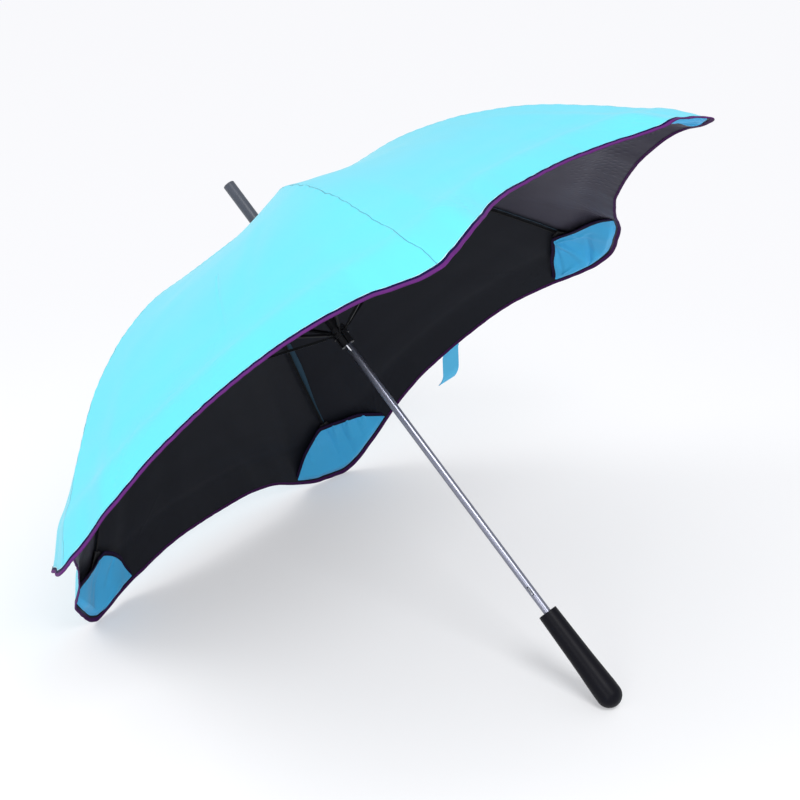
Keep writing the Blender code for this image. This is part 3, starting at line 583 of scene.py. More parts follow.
@dataclass(frozen=True)
class CanopyShape:
    """The curved surface of the cloth, in the frame of one rib."""

    radius: float = 0.550
    apex: float = 0.7718
    depth: float = 0.2824
    half: float = 30.0
    blend: float = 4.0
    drop: Profile = Profile(
        (0, 0.29, 0.38, 0.528, 0.604, 0.672, 0.734, 0.788, 0.83, 0.862, 0.896, 0.928, 1),
        (
            0, 0.1003, 0.1275, 0.2273, 0.3048, 0.3869, 0.4786, 0.5709, 0.6428, 0.7036, 0.7636,
            0.8152, 1,
        ),
    )
    sag: Profile = Profile((0, 0.2, 0.4, 0.6, 0.8, 1), (0, 0.0223, 0.0386, 0.0347, 0.0234, 0))
    hem_radius: Profile = Profile(
        (-2.5, 0, 2.5, 5, 7.5, 10, 13, 17, 22, 30, 38),
        (0.9859, 1, 0.9859, 0.9638, 0.9503, 0.9188, 0.8829, 0.8534, 0.8293, 0.8212, 0.8293),
    )
    hem_rise: Profile = Profile(
        (-2.5, 0, 2.5, 5, 7.5, 10, 13, 17, 22, 30, 38),
        (0.0136, 0, 0.0136, 0.0392, 0.0641, 0.0872, 0.1121, 0.1349, 0.1495, 0.1568, 0.1495),
    )

    azimuth: float = 0.0
    reach: Profile = Profile(
        (
            -180, -172, -166, -162, -159, -156, -152, -150, -148, -144, -142, -140, -137, -134, -128,
            -120, -112, -106, -102, -100, -98, -96, -94, -92, -90, -88, -86, -84, -82, -80, -74, -68,
            -60, -52, -46, -40, -34, -32, -30, -28, -26, -24.5, -22, -20, -18, -16, -13, -8,
            0, 18, 20, 23, 26, 28, 29, 30, 31, 33, 34, 35, 36, 37, 39, 42,
            60, 72, 76, 80, 82, 84, 87, 90, 92, 94, 96, 98, 100, 102, 104, 108, 112,
            120, 126, 130, 133, 136, 140, 142, 144, 146, 148, 150, 152, 154, 156, 158, 160, 162, 164,
            168, 172, 180,
        ),
        (
            3.0, 3.0, 5.0, 6.5, 5.0, 0, -1.0, -1.0, -2.5, -4.0, -6.0, -10.0, -7.5, -4.0, -2.0,
            0, 1.0, 3.0, 2.0, 0, -2.0, -1.5, -4.0, -6.0, -7.0, -4.0, -1.0, 0, -1.0, -4.0, -4.0, -2.0,
            0, 2.0, 4.0, 4.0, 3.5, 2.0, 0.5, 0.5, 2.5, 5.5, 3.5, 3.0, 1.5, -2.0, -3.5, -3.0,
            0, 0, -2.0, -1.0, 0, 0, -4.0, -8.0, -10.0, -9.5, -6.5, -4.5, -5.0, -6.0, -4.0, 0,
            0, -3.0, -4.0, 0.5, 5.0, 7.0, 7.0, 4.5, 3.5, 3.0, 4.5, 4.0, 3.5, 3.0, 0, -2.0, -3.0,
            -2.7, -3.5, -3.0, -1.0, 0, 2.0, 3.0, 5.5, 7.5, 10.0, 9.5, 6.5, 6.0, 5.8, 5.6, 5.0, 2.4, 0,
            0.5, 2.0, 3.0,
        ),
    )
    flare: Profile = Profile(
        (
            -180, -160, -158, -156, -154, -152, -150, -148, 68, 73, 78, 80.5, 82.5, 85, 88, 90, 92,
            95, 180,
        ),
        (0, 0, 3.0, 6.0, 6.5, 5.0, 2.0, 0, 0, -5.0, -5.0, 0, 6.0, 7.5, 5.5, 4.0, 3.0, 0, 0),
    )

    def point(self, level: Points | float, angle: Points | float) -> Points:
        """A point of the cloth.

        Args:
            level: Share of the way from the apex to the hem.
            angle: Angle from the rib.

        Returns:
            Points in the rib's frame, with the coordinates last.
        """
        level, angle = np.broadcast_arrays(np.asarray(level, float), np.asarray(angle, float))
        around = np.mod(angle + self.azimuth + 180, 360) - 180
        tip = np.clip((level - 0.88) / 0.12, 0, 1.2) ** 4
        flare = 0.001 * self.flare.at(around) * tip
        level = level * (1 + 0.001 * self.reach.at(around) * np.clip(level, 0, 1) ** 6)
        side = np.abs(angle)
        half = math.radians(self.half)
        chord = math.cos(half) / np.cos(half - np.radians(side))
        blend = np.maximum(level, 0) ** self.blend
        ratio = (1 - blend) * chord + blend * self.hem_radius.at(side)
        radius = self.radius * level * ratio
        sag = self.sag.at(level) * (1 - (1 - side / self.half) ** 2)
        drop = self.drop.at(level) + sag - blend * self.hem_rise.at(side)
        height = self.apex - self.depth * drop + flare
        turn = np.radians(angle)
        return np.stack([radius * np.cos(turn), radius * np.sin(turn), height], axis=-1)

    def normal(self, level: Points | float, angle: Points | float) -> Points:
        """The outward direction of the cloth, with the ridge over the rib rounded off."""
        level, angle = np.broadcast_arrays(np.asarray(level, float), np.asarray(angle, float))
        step, turn = 0.004, 1.5
        low, high = np.maximum(level - step, step), np.minimum(level + step, 1)
        along = self.point(high, angle) - self.point(low, angle)
        across = self.point(level, angle + turn) - self.point(level, angle - turn)
        out = np.cross(along, across)
        return out / np.linalg.norm(out, axis=-1, keepdims=True)

    def under(self, level: Points | float, angle: Points | float, depth: Any) -> Points:
        """A point that lies a depth inside the cloth."""
        depth = np.asarray(depth, float)[..., None]
        return self.point(level, angle) - self.normal(level, angle) * depth

    def share(self, length: float) -> float:
        """The share of the rib line that a length takes up at the hem."""
        run = np.linalg.norm(self.point(1, 0) - self.point(0.99, 0))
        return 0.01 * length / float(run)


SHAPE = CanopyShape()
SHAPES = {rib: replace(SHAPE, azimuth=rib.value) for rib in Rib}


class Placement:
    """Where the stick and each rib lie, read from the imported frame's joints.

    Attributes:
        apex: Height of the cloth's middle on the stick.
        top: Height of the ferrule's flat end.
        roof: Thickness of the ferrule over the shaft's end.
        crown_pivot: Height of the ribs' hinges.
    """

    apex: float = 0.7718
    top: float = 0.8358
    roof: float = 0.009
    crown_pivot: float = apex - 0.0034 - 0.0062

    def __init__(self, joints: Sequence[dict[str, Any]]) -> None:
        """Work out the stick's frame from the joints.

        Args:
            joints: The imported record's joints.
        """
        found = {joint["name"]: joint for joint in joints}
        along = -Vector(found["runner_slide"]["axis"]).normalized()
        aside = Vector((0, -1, 0))
        down = aside.cross(along).normalized()
        hinges = [Vector(found[rib.hinge]["pos_m"]) for rib in Rib]
        crown = sum(hinges, Vector()) / len(hinges)
        self.origin = crown - along * self.crown_pivot
        turn = Matrix((down, aside, along)).transposed().to_4x4()
        self.stick = Matrix.Translation(self.origin) @ turn
        self.axes = {rib: Vector(found[rib.hinge]["axis"]) for rib in Rib}
        self.pivots = {rib: Vector(found[rib.hinge]["pos_m"]) for rib in Rib}

    def rib(self, rib: Rib) -> Matrix:
        """The frame of one rib."""
        return self.stick @ Matrix.Rotation(math.radians(rib.value), 4, "Z")


PLACE = Placement(frame["joints"])


def put(name: str, data: bpy.types.ID) -> bpy.types.Object:
    """Make an object of a mesh, lamp or camera and put it into the scene."""
    item = bpy.data.objects.new(name, data)
    bpy.context.scene.collection.objects.link(item)
    return item


def unit(vectors: Points) -> Points:
    """Vectors of length one with the same directions."""
    return vectors / np.linalg.norm(vectors, axis=-1, keepdims=True)


def places(shell: bmesh.types.BMesh) -> Points:
    """The places of a mesh's vertices."""
    return np.array([vertex.co for vertex in shell.verts], float)


def lay(shell: bmesh.types.BMesh, points: Points, matrix: Matrix) -> None:
    """Move a mesh's vertices to points that are given in the frame of a matrix."""
    turn = np.array(matrix, float)
    for vertex, point in zip(shell.verts, points @ turn[:3, :3].T + turn[:3, 3]):
        vertex.co = point


def close_up(shell: bmesh.types.BMesh) -> None:
    """Fill a mesh's open ends and turn its faces outwards."""
    bmesh.ops.holes_fill(shell, edges=[e for e in shell.edges if e.is_boundary], sides=0)
    bmesh.ops.recalc_face_normals(shell, faces=shell.faces[:])


def arc(middle: tuple[float, float], radius: float, start: float, end: float, steps: int) -> list[Any]:
    """Points of an arc from one angle to another."""
    turns = [math.radians(start + (end - start) * i / steps) for i in range(steps + 1)]
    return [(middle[0] + radius * math.cos(t), middle[1] + radius * math.sin(t)) for t in turns]


class Maker:
    """Turns meshes into finished pieces of the umbrella."""

    @staticmethod
    def object(name: str, shell: bmesh.types.BMesh, finishes: Sequence[str]) -> bpy.types.Object:
        """Make an object from a bmesh.

        Args:
            name: The object's name.
            shell: Its mesh, which is freed.
            finishes: Names of its materials, in slot order.

        Returns:
            The new object.
        """
        mesh = bpy.data.meshes.new(name)
        shell.to_mesh(mesh)
        shell.free()
        for finish in finishes:
            mesh.materials.append(Finishes.get(finish))
        return put(name, mesh)

    @staticmethod
    def smooth(item: bpy.types.Object, angle: float = 35.0) -> None:
        """Shade faces smooth, except over edges sharper than an angle."""
        item.data.shade_smooth()
        item.data.set_sharp_from_angle(angle=math.radians(angle))

    @staticmethod
    def turned(
        name: str, outline: Sequence[tuple[float, float]], finishes: Sequence[str], steps: int = 64
    ) -> bpy.types.Object:
        """Turn an outline of (radius, height) points round the stick's axis.

        Args:
            name: The object's name.
            outline: The points, from one end to the other.
            finishes: Names of its materials.
            steps: Sides of the turned shape.

        Returns:
            The piece, laid where the stick has it.
        """
        shell = bmesh.new()
        points = [shell.verts.new((radius, 0, height)) for radius, height in outline]
        pairs = list(zip(points, points[1:]))
        if outline[0][0] > 0 and outline[-1][0] > 0:
            pairs.append((points[-1], points[0]))
        edges = [shell.edges.new(pair) for pair in pairs]
        bmesh.ops.spin(
            shell, geom=points + edges, axis=(0, 0, 1), cent=(0, 0, 0), angle=math.tau,
            steps=steps, use_merge=True,
        )
        bmesh.ops.remove_doubles(shell, verts=shell.verts[:], dist=0.00001)
        bmesh.ops.recalc_face_normals(shell, faces=shell.faces[:])
        shell.transform(PLACE.stick)
        item = Maker.object(name, shell, finishes)
        Maker.smooth(item)
        return item

    @staticmethod
    def map_cloth(item: bpy.types.Object, across: Points, along: Points) -> None:
        """Store two coordinates in metres for each point as the UV map "cloth"."""
        mesh = item.data
        layer = mesh.uv_layers.get("cloth") or mesh.uv_layers.new(name="cloth")
        corners = np.zeros(len(mesh.loops), np.int32)
        mesh.loops.foreach_get("vertex_index", corners)
        uv = np.stack([across[corners], along[corners]], axis=1).astype(np.float32)
        layer.data.foreach_set("uv", uv.ravel())

    @staticmethod
    def store(item: bpy.types.Object, name: str, values: Points) -> None:
        """Store a value for each point of a mesh, for its shader to read."""
        layer = item.data.attributes.new(name, "FLOAT", "POINT")
        layer.data.foreach_set("value", np.asarray(values, np.float32))

    @staticmethod
    def gather(item: bpy.types.Object, rib: Rib, keep: float = 0.05) -> None:
        """Let a piece ride on its rib, with a mesh of its own."""
        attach(item, rib.body)
        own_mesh(item)

    @staticmethod
    def area(item: bpy.types.Object) -> float:
        """Half the area of a thin closed sheet, which is the area of its cloth."""
        return sum(face.area for face in item.data.polygons) / 2


SurfaceRule = Callable[[Points, Points], Points]
Place = tuple[float, float]


@dataclass(frozen=True)
class Crease:
    """A soft ridge between two places on a sheet, which fades out at both ends.

    Attributes:
        start: Where it begins, in the sheet's own two coordinates in metres.
        end: Where it ends.
        height: Its height, or depth where negative.
        width: Half its width.
    """

    start: Place
    end: Place
    height: float
    width: float

    def at(self, x: Points, y: Points) -> Points:
        """The ridge's height at places on the sheet."""
        run = np.array(self.end, float) - np.array(self.start, float)
        length = float(np.hypot(*run))
        way = run / length
        along = (x - self.start[0]) * way[0] + (y - self.start[1]) * way[1]
        aside = (x - self.start[0]) * -way[1] + (y - self.start[1]) * way[0]
        share = np.clip(along / length, 0, 1)
        beyond = np.maximum(np.maximum(-along, along - length), 0)
        spread = self.width * (0.6 + 0.8 * share)
        return self.height * (1 - 0.7 * share) * np.exp(-(aside**2 + beyond**2) / spread**2)


@dataclass
class SheetMaker:
    """Makes thin double-sided sheets on a curved surface."""

    rows: int
    columns: int
    thickness: float

    def make(
        self, name: str, rule: SurfaceRule, rib: Rib, finishes: Sequence[str]
    ) -> tuple[bpy.types.Object, Points, Points]:
        """Make a sheet.

        Args:
            name: The object's name.
            rule: Gives points from u, 0 to 1 along, and v, -1 to 1 across.
            rib: The rib in whose frame the rule's points are.
            finishes: The outer finish and the inner one, or one for both.

        Returns:
            The object, and u and v of each of its vertices.
        """
        shell = bmesh.new()
        bmesh.ops.create_grid(shell, x_segments=self.rows, y_segments=self.columns, size=1)
        outer = shell.faces[:]
        rim = [edge for edge in shell.edges if edge.is_boundary]
        made = bmesh.ops.duplicate(shell, geom=shell.verts[:] + shell.edges[:] + outer)
        back = [g for g in made["geom"] if isinstance(g, bmesh.types.BMVert)]
        back_faces = [g for g in made["geom"] if isinstance(g, bmesh.types.BMFace)]
        bmesh.ops.translate(shell, vec=(0, 0, -1), verts=back)
        bmesh.ops.reverse_faces(shell, faces=back_faces)
        for face in back_faces:
            face.material_index = len(finishes) - 1
        back_rim = [edge for edge in shell.edges if edge.is_boundary and edge not in set(rim)]
        bmesh.ops.bridge_loops(shell, edges=rim + back_rim)
        grid = places(shell)
        u, v, inner = (grid[:, 0] + 1) / 2, grid[:, 1], grid[:, 2] < -0.5
        step = 0.002
        middle = rule(u, v)
        along = rule(u + step, v) - rule(u - step, v)
        across = rule(u, v + step) - rule(u, v - step)
        out = np.cross(along, across)
        out /= np.maximum(np.linalg.norm(out, axis=1, keepdims=True), 1e-12)
        side = np.where(inner, -1.0, 1.0)[:, None]
        lay(shell, middle + out * side * self.thickness / 2, PLACE.rib(rib))
        normals = (out * side) @ np.array(PLACE.rib(rib).to_3x3(), float).T
        item = Maker.object(name, shell, finishes)
        item.data.shade_smooth()
        item.data.normals_split_custom_set_from_vertices(normals.tolist())
        return item, u, v


# Sub-assemblies


class RibSet:
    """A sub-assembly that has the same pieces at each of the six ribs."""

    def make(self, rib: Rib) -> list[bpy.types.Object]:
        """Build and dress the pieces at one rib."""
        raise NotImplementedError

    def build(self) -> list[bpy.types.Object]:
        """Build and dress the pieces at all the ribs, one rib after the other."""
        return [piece for rib in Rib for piece in self.make(rib)]


@dataclass(frozen=True)
class Patch:
    """A soft-edged patch of the cloth.

    Attributes:
        level: Share of the way from the apex to the hem at its middle.
        azimuth: Angle about the stick at its middle.
        tall: Half its height, as such a share.
        wide: Half its width, as such an angle.
    """

    level: float
    azimuth: float
    tall: float
    wide: float

    def at(self, level: Points, azimuth: Points) -> Points:
        """The patch's strength, from 0 outside it to 1 at its middle."""
        aside = np.mod(azimuth - self.azimuth + 180, 360) - 180
        far = ((level - self.level) / self.tall) ** 2 + (aside / self.wide) ** 2
        return np.clip(1.4 * (1 - far), 0, 1)


@dataclass
class Canopy(RibSet):
    """The turquoise cloth: one curved sheet, cut into the six stretches that move with the ribs."""

    thickness: float = 0.0006
    hole: float = 0.0104
    edge: float = 0.0010
    rows: int = 170
    columns: int = 160
    column_power: float = 1.5
    row_power: float = 1.2
    slant: float = 0.62
    corner: float = 9.5
    seam_height: float = 0.00022
    seam_reach: float = 0.008
    seam_pitch: float = 0.0165
    hem_height: float = 0.00022
    hem_reach: float = 0.016
    hem_waves: float = 132
    broad_height: float = 0.0007
    cap_height: float = 0.0003
    cap_waves: float = 42
    fold: Crease = Crease((0.385, 0.0), (0.53, 0.0), -0.0008, 0.0028)
    fold_azimuth: float = 122.5
    creased: Patch = Patch(0.90, 116.0, 0.085, 13.0)
    half_creased: Patch = Patch(0.88, -2.0, 0.08, 12.0)
    puckered: Patch = Patch(0.93, -121.0, 0.085, 19.0)

    def creases(self) -> list[Crease]:
        """Folds that start at the corners of the tips, on either side of a rib."""
        edge, aside = self.slant, SHAPE.radius * math.radians(self.corner) * 0.93
        start = (edge * 0.965, aside)
        return [
            Crease(start, (edge * 0.88, aside * 0.42), 0.00045, 0.0018),
            Crease((edge * 0.972, aside * 1.05), (edge * 0.86, aside * 1.5), -0.00045, 0.0022),
            Crease((edge * 0.972, aside * 1.2), (edge * 0.93, aside * 1.9), 0.00035, 0.0018),
            Crease(start, (edge * 0.82, aside * 0.9), 0.0003, 0.0030),
        ]

    def relief(self, level: Points, azimuth: Points) -> Points:
        """How far the cloth stands out from its smooth shape.

        Args:
            level: Share of the way from the apex to the hem.
            azimuth: Angle about the stick.

        Returns:
            The distance, outwards.
        """
        level, azimuth = np.broadcast_arrays(np.asarray(level, float), np.asarray(azimuth, float))
        turn = np.radians(azimuth)
        side = np.abs(np.mod(azimuth, 60) - 30)
        aside = level * SHAPE.radius * np.radians(side)
        down = level * self.slant
        wander = np.sin(5 * turn + 1) + np.sin(11 * turn + 9 * level)
        seam = np.exp(-((aside / self.seam_reach) ** 2))
        seam = seam * np.sin(down * math.tau / self.seam_pitch + 2.5 * wander)
        hem = np.exp(-(1 - level) * self.slant / self.hem_reach)
        hem = hem * np.sin(self.hem_waves * turn + 3 * np.sin(9 * turn))
        broad = np.sin(math.pi * side / 30) * np.sin(down * 26 + 2.4 * wander) * level
        cap = np.exp(-(((level - 0.03) / 0.05) ** 2))
        cap = cap * np.sin(self.cap_waves * turn + np.sin(5 * turn))
        total = self.seam_height * seam + self.hem_height * hem
        total = total + self.broad_height * broad + self.cap_height * cap
        for crease in self.creases():
            uneven = 0.75 + 0.25 * np.sin(7 * turn + 40 * crease.width)
            total = total + uneven * crease.at(down, aside)
        off = level * SHAPE.radius * np.radians(azimuth - self.fold_azimuth)
        return total + self.fold.at(down, off)

    def spread(self, u: Points, v: Points) -> tuple[Points, Points]:
        """Level and angle of places on a stretch, which lie closer near the hem and the rib."""
        first, last = self.hole / SHAPE.radius, 1 - SHAPE.share(self.edge)
        shaped = 1 - np.sign(1 - u) * np.abs(1 - u) ** self.row_power
        angle = np.sign(v) * np.abs(v) ** self.column_power * SHAPE.half
        return first + (last - first) * shaped, angle

    def rule(self, rib: Rib, u: Points, v: Points) -> Points:
        """Points of one rib's stretch from u along the rib and v across."""
        level, angle = self.spread(u, v)
        out = self.relief(level, rib.value + angle)[..., None]
        return SHAPES[rib].point(level, angle) + SHAPES[rib].normal(level, angle) * out

    @staticmethod
    def faded(level: Points, azimuth: Points) -> Points:
        """How much painted light lightens the coat: most towards the hem of the gore from rib C to rib
        D.
        """
        before_d = np.clip((Rib.D.value - 0.5 - azimuth) / 1.5, 0, 1)
        after_c = np.clip((azimuth - Rib.C.value) / 4, 0, 1)
        return before_d * after_c * np.clip((level - 0.45) / 0.4, 0, 1)

    def make(self, rib: Rib) -> list[bpy.types.Object]:
        """Build and dress one rib's stretch of cloth."""
        rule = partial(self.rule, rib)
        maker = SheetMaker(self.rows, self.columns, self.thickness)
        item, u, v = maker.make("cloth_" + rib.name, rule, rib, ["outside", "inside"])
        middle = rule(u, v)
        Maker.map_cloth(item, middle[:, 1], np.linalg.norm(middle[:, [0, 1]], axis=1))
        level, angle = self.spread(u, v)
        azimuth = rib.value + angle
        creased = self.creased.at(level, azimuth)
        creased = np.maximum(creased, 0.5 * self.half_creased.at(level, azimuth))
        Maker.store(item, "creases", creased)
        Maker.store(item, "puckers", self.puckered.at(level, azimuth))
        # Painted light on the inner coat, strongest in the gore from rib C to rib D.
        Maker.store(item, "faded", self.faded(level, azimuth))
        Maker.store(item, "hem_gap", (1 - level) / SHAPE.share(1.0) - HemBinding.outer)
        Maker.gather(item, rib)
        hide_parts("canopy_" + rib.name)
        Maker.area(item)
        return [item]


@dataclass
class SeamAllowance(RibSet):
    """The narrow turned-in edges of two gores, which show their turquoise face beside each rib.

    Attributes:
        thickness: Thickness of the strip.
        first: Where it begins, as a share of the way from the apex to the hem.
        last: Where it ends.
        depth: How deep it lies under the cloth at the rib.
        start: How far from the seam it begins.
        width: Its least width.
        sway: What its uneven edge adds to the width.
        gape: What is added where rib E's strip stands open, four times as much as at other ribs.
        gape_level: Where it stands open.
        gape_reach: How far along it does.
    """

    thickness: float = 0.0004
    first: float = 0.12
    last: float = 0.885
    depth: float = 0.0011
    start: float = 0.0028
    width: float = 0.0016
    sway: float = 0.0012
    gape: float = 0.0060
    gape_level: float = 0.70
    gape_reach: float = 0.085

    def rule(self, rib: Rib, u: Points, v: Points) -> Points:
        """Points of one rib's strip from u along the rib and v across."""
        number = list(Rib).index(rib)
        level = self.first + (self.last - self.first) * u
        sway = 0.5 + 0.5 * np.sin(19 * u + 2.1 * number) * np.sin(7.3 * u + number)
        gape = np.exp(-(((level - self.gape_level) / self.gape_reach) ** 2))
        gape = gape * (1.0 if rib is Rib.E else 0.25)
        out = (v + 1) / 2
        aside = self.start + (self.width + self.sway * sway + self.gape * gape) * out
        angle = np.degrees(np.arcsin(-aside / (SHAPE.radius * level)))
        lift = self.depth + (0.0008 * sway + 0.0014 * gape) * out
        return SHAPES[rib].under(level, angle, lift)

    def make(self, rib: Rib) -> list[bpy.types.Object]:
        """Build and dress one rib's strip."""
        maker = SheetMaker(220, 6, self.thickness)
        rule = partial(self.rule, rib)
        item, u, v = maker.make("allowance_" + rib.name, rule, rib, ["allowance"])
        Maker.map_cloth(item, v * 0.002, u * 0.5)
        Maker.gather(item, rib)
        return [item]


@dataclass
class HemBinding(RibSet):
    """The purple tape that is folded round the canopy's whole edge."""

    outer: float = 0.0090
    inner: float = 0.0062
    half: float = 0.0010
    columns: int = 240
    column_power: float = 1.5

    def section(self) -> list[tuple[float, float, float]]:
        """The tape's section.

        Returns:
            Points of (distance from the edge, height off the cloth, place across the tape).
        """
        points = [(self.outer, 0.0, self.outer)]
        for share in (1.0, 0.985, 0.94, 0.8, 0.6, 0.4, 0.2):
            swell = self.half * (1 - 0.35 * (share > 0.99))
            points.append((self.outer * share, swell, self.outer * share))
        for turn in (90, 60, 30, 0, -30, -60, -90):
            angle = math.radians(turn)
            across = self.half * math.sin(angle)
            points.append((self.half * (1 - math.cos(angle)), across, across))
        for share in (0.3, 0.6, 0.9, 0.98, 1.0):
            swell = self.half * (1 - 0.35 * (share > 0.99))
            points.append((self.inner * share, -swell, -self.inner * share))
        points.append((self.inner, 0.0, -self.inner))
        return points

    def make(self, rib: Rib) -> list[bpy.types.Object]:
        """Build and dress one rib's stretch of tape."""
        section = np.array(self.section(), float)
        steps = len(section) - 1
        shell = bmesh.new()
        bmesh.ops.create_grid(shell, x_segments=self.columns, y_segments=steps, size=1)
        grid = places(shell)
        angle = np.sign(grid[:, 0]) * np.abs(grid[:, 0]) ** self.column_power * SHAPE.half
        number = np.rint((grid[:, 1] + 1) / 2 * steps).astype(int)
        inward, height, across = section[number].T
        azimuth = rib.value + angle
        inward = inward * (1 + 0.03 * self.waver(azimuth, 190.0))
        height = height + np.where(height > 0, 0.00018, 0.0001) * self.waver(azimuth, 140.0)
        level = 1 - SHAPE.share(1.0) * inward
        out = SHAPES[rib].normal(np.minimum(level, 1.0), angle)
        out = out * (height + Canopy().relief(level, azimuth))[:, None]
        rim = [edge for edge in shell.edges if edge.is_boundary]
        long_sides = [
            edge for y in (-1, 1) for edge in rim if all(abs(v.co.y - y) < 1e-6 for v in edge.verts)
        ]
        bmesh.ops.bridge_loops(shell, edges=long_sides)
        lay(shell, SHAPES[rib].point(level, angle) + out, PLACE.rib(rib))
        close_up(shell)
        item = Maker.object("hem_" + rib.name, shell, ["binding"])
        turns = np.linspace(-SHAPE.half, SHAPE.half, 2000)
        hem = SHAPES[rib].point(np.ones(2000), turns)
        run = np.concatenate([[0], np.cumsum(np.linalg.norm(np.diff(hem, axis=0), axis=1))])
        Maker.map_cloth(item, across, np.interp(angle, turns, run))
        Maker.smooth(item, 50.0)
        Maker.gather(item, rib)
        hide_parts("binding_" + rib.name)
        return [item]

    @staticmethod
    def waver(azimuth: Points, count: float) -> Points:
        """Uneven small waves round the hem, from -1 to 1, about count of them in all."""
        turn = np.radians(azimuth)
        first, second = round(count), round(count * 0.62)
        return 0.5 * np.sin(first * turn + 2 * np.sin(7 * turn)) + 0.5 * np.sin(second * turn + 1.3)


@dataclass(frozen=True)
class Flank:
    """How a pocket's top edge falls away on one side of its peak.

    Attributes:
        soft: How wide the rounding at the peak is.
        power: How straight the edge runs below it.
        zero: What the curve gives at the peak, which is taken off.
        span: How far it climbs from there to the corner.
    """

    soft: float = 0.0
    power: float = 0.725
    zero: float = 0.0
    span: float = 1.0

    def fall(self, v: Points) -> Points:
        """Share of the way down from the peak to the corner, at places across."""
        return ((v * v + self.soft) ** self.power - self.zero) / self.span


@dataclass(frozen=True)
class PocketCut:
    """How the pocket of one tip is cut and sewn in.

    Attributes:
        near: How far it reaches before the rib, as an angle.
        far: How far it reaches past the rib.
        peak: Where its top edge is highest, as a share of the rib line.
        lean: How far its middle leans past the rib, as an angle.
        depth: How far its middle stands off the cloth.
        before: Its top edge before the rib.
        after: Its top edge past the rib.
    """

    near: float = 9.8
    far: float = 9.8
    peak: float = 0.876
    lean: float = 0.0
    depth: float = 0.0100
    before: Flank = Flank()
    after: Flank = Flank(0.03, 0.5, 0.173, 0.842)


CUTS = {rib: PocketCut() for rib in Rib}
CUTS[Rib.C] = PocketCut(far=4.5, peak=0.884, depth=0.0076)
CUTS[Rib.D] = PocketCut(far=9.4, after=Flank(0.012, 0.40, 0.1704, 0.8344))
CUTS[Rib.E] = PocketCut(before=Flank(power=0.925))
CUTS[Rib.F] = PocketCut(near=9.0, lean=-2.4, after=Flank(power=0.65))


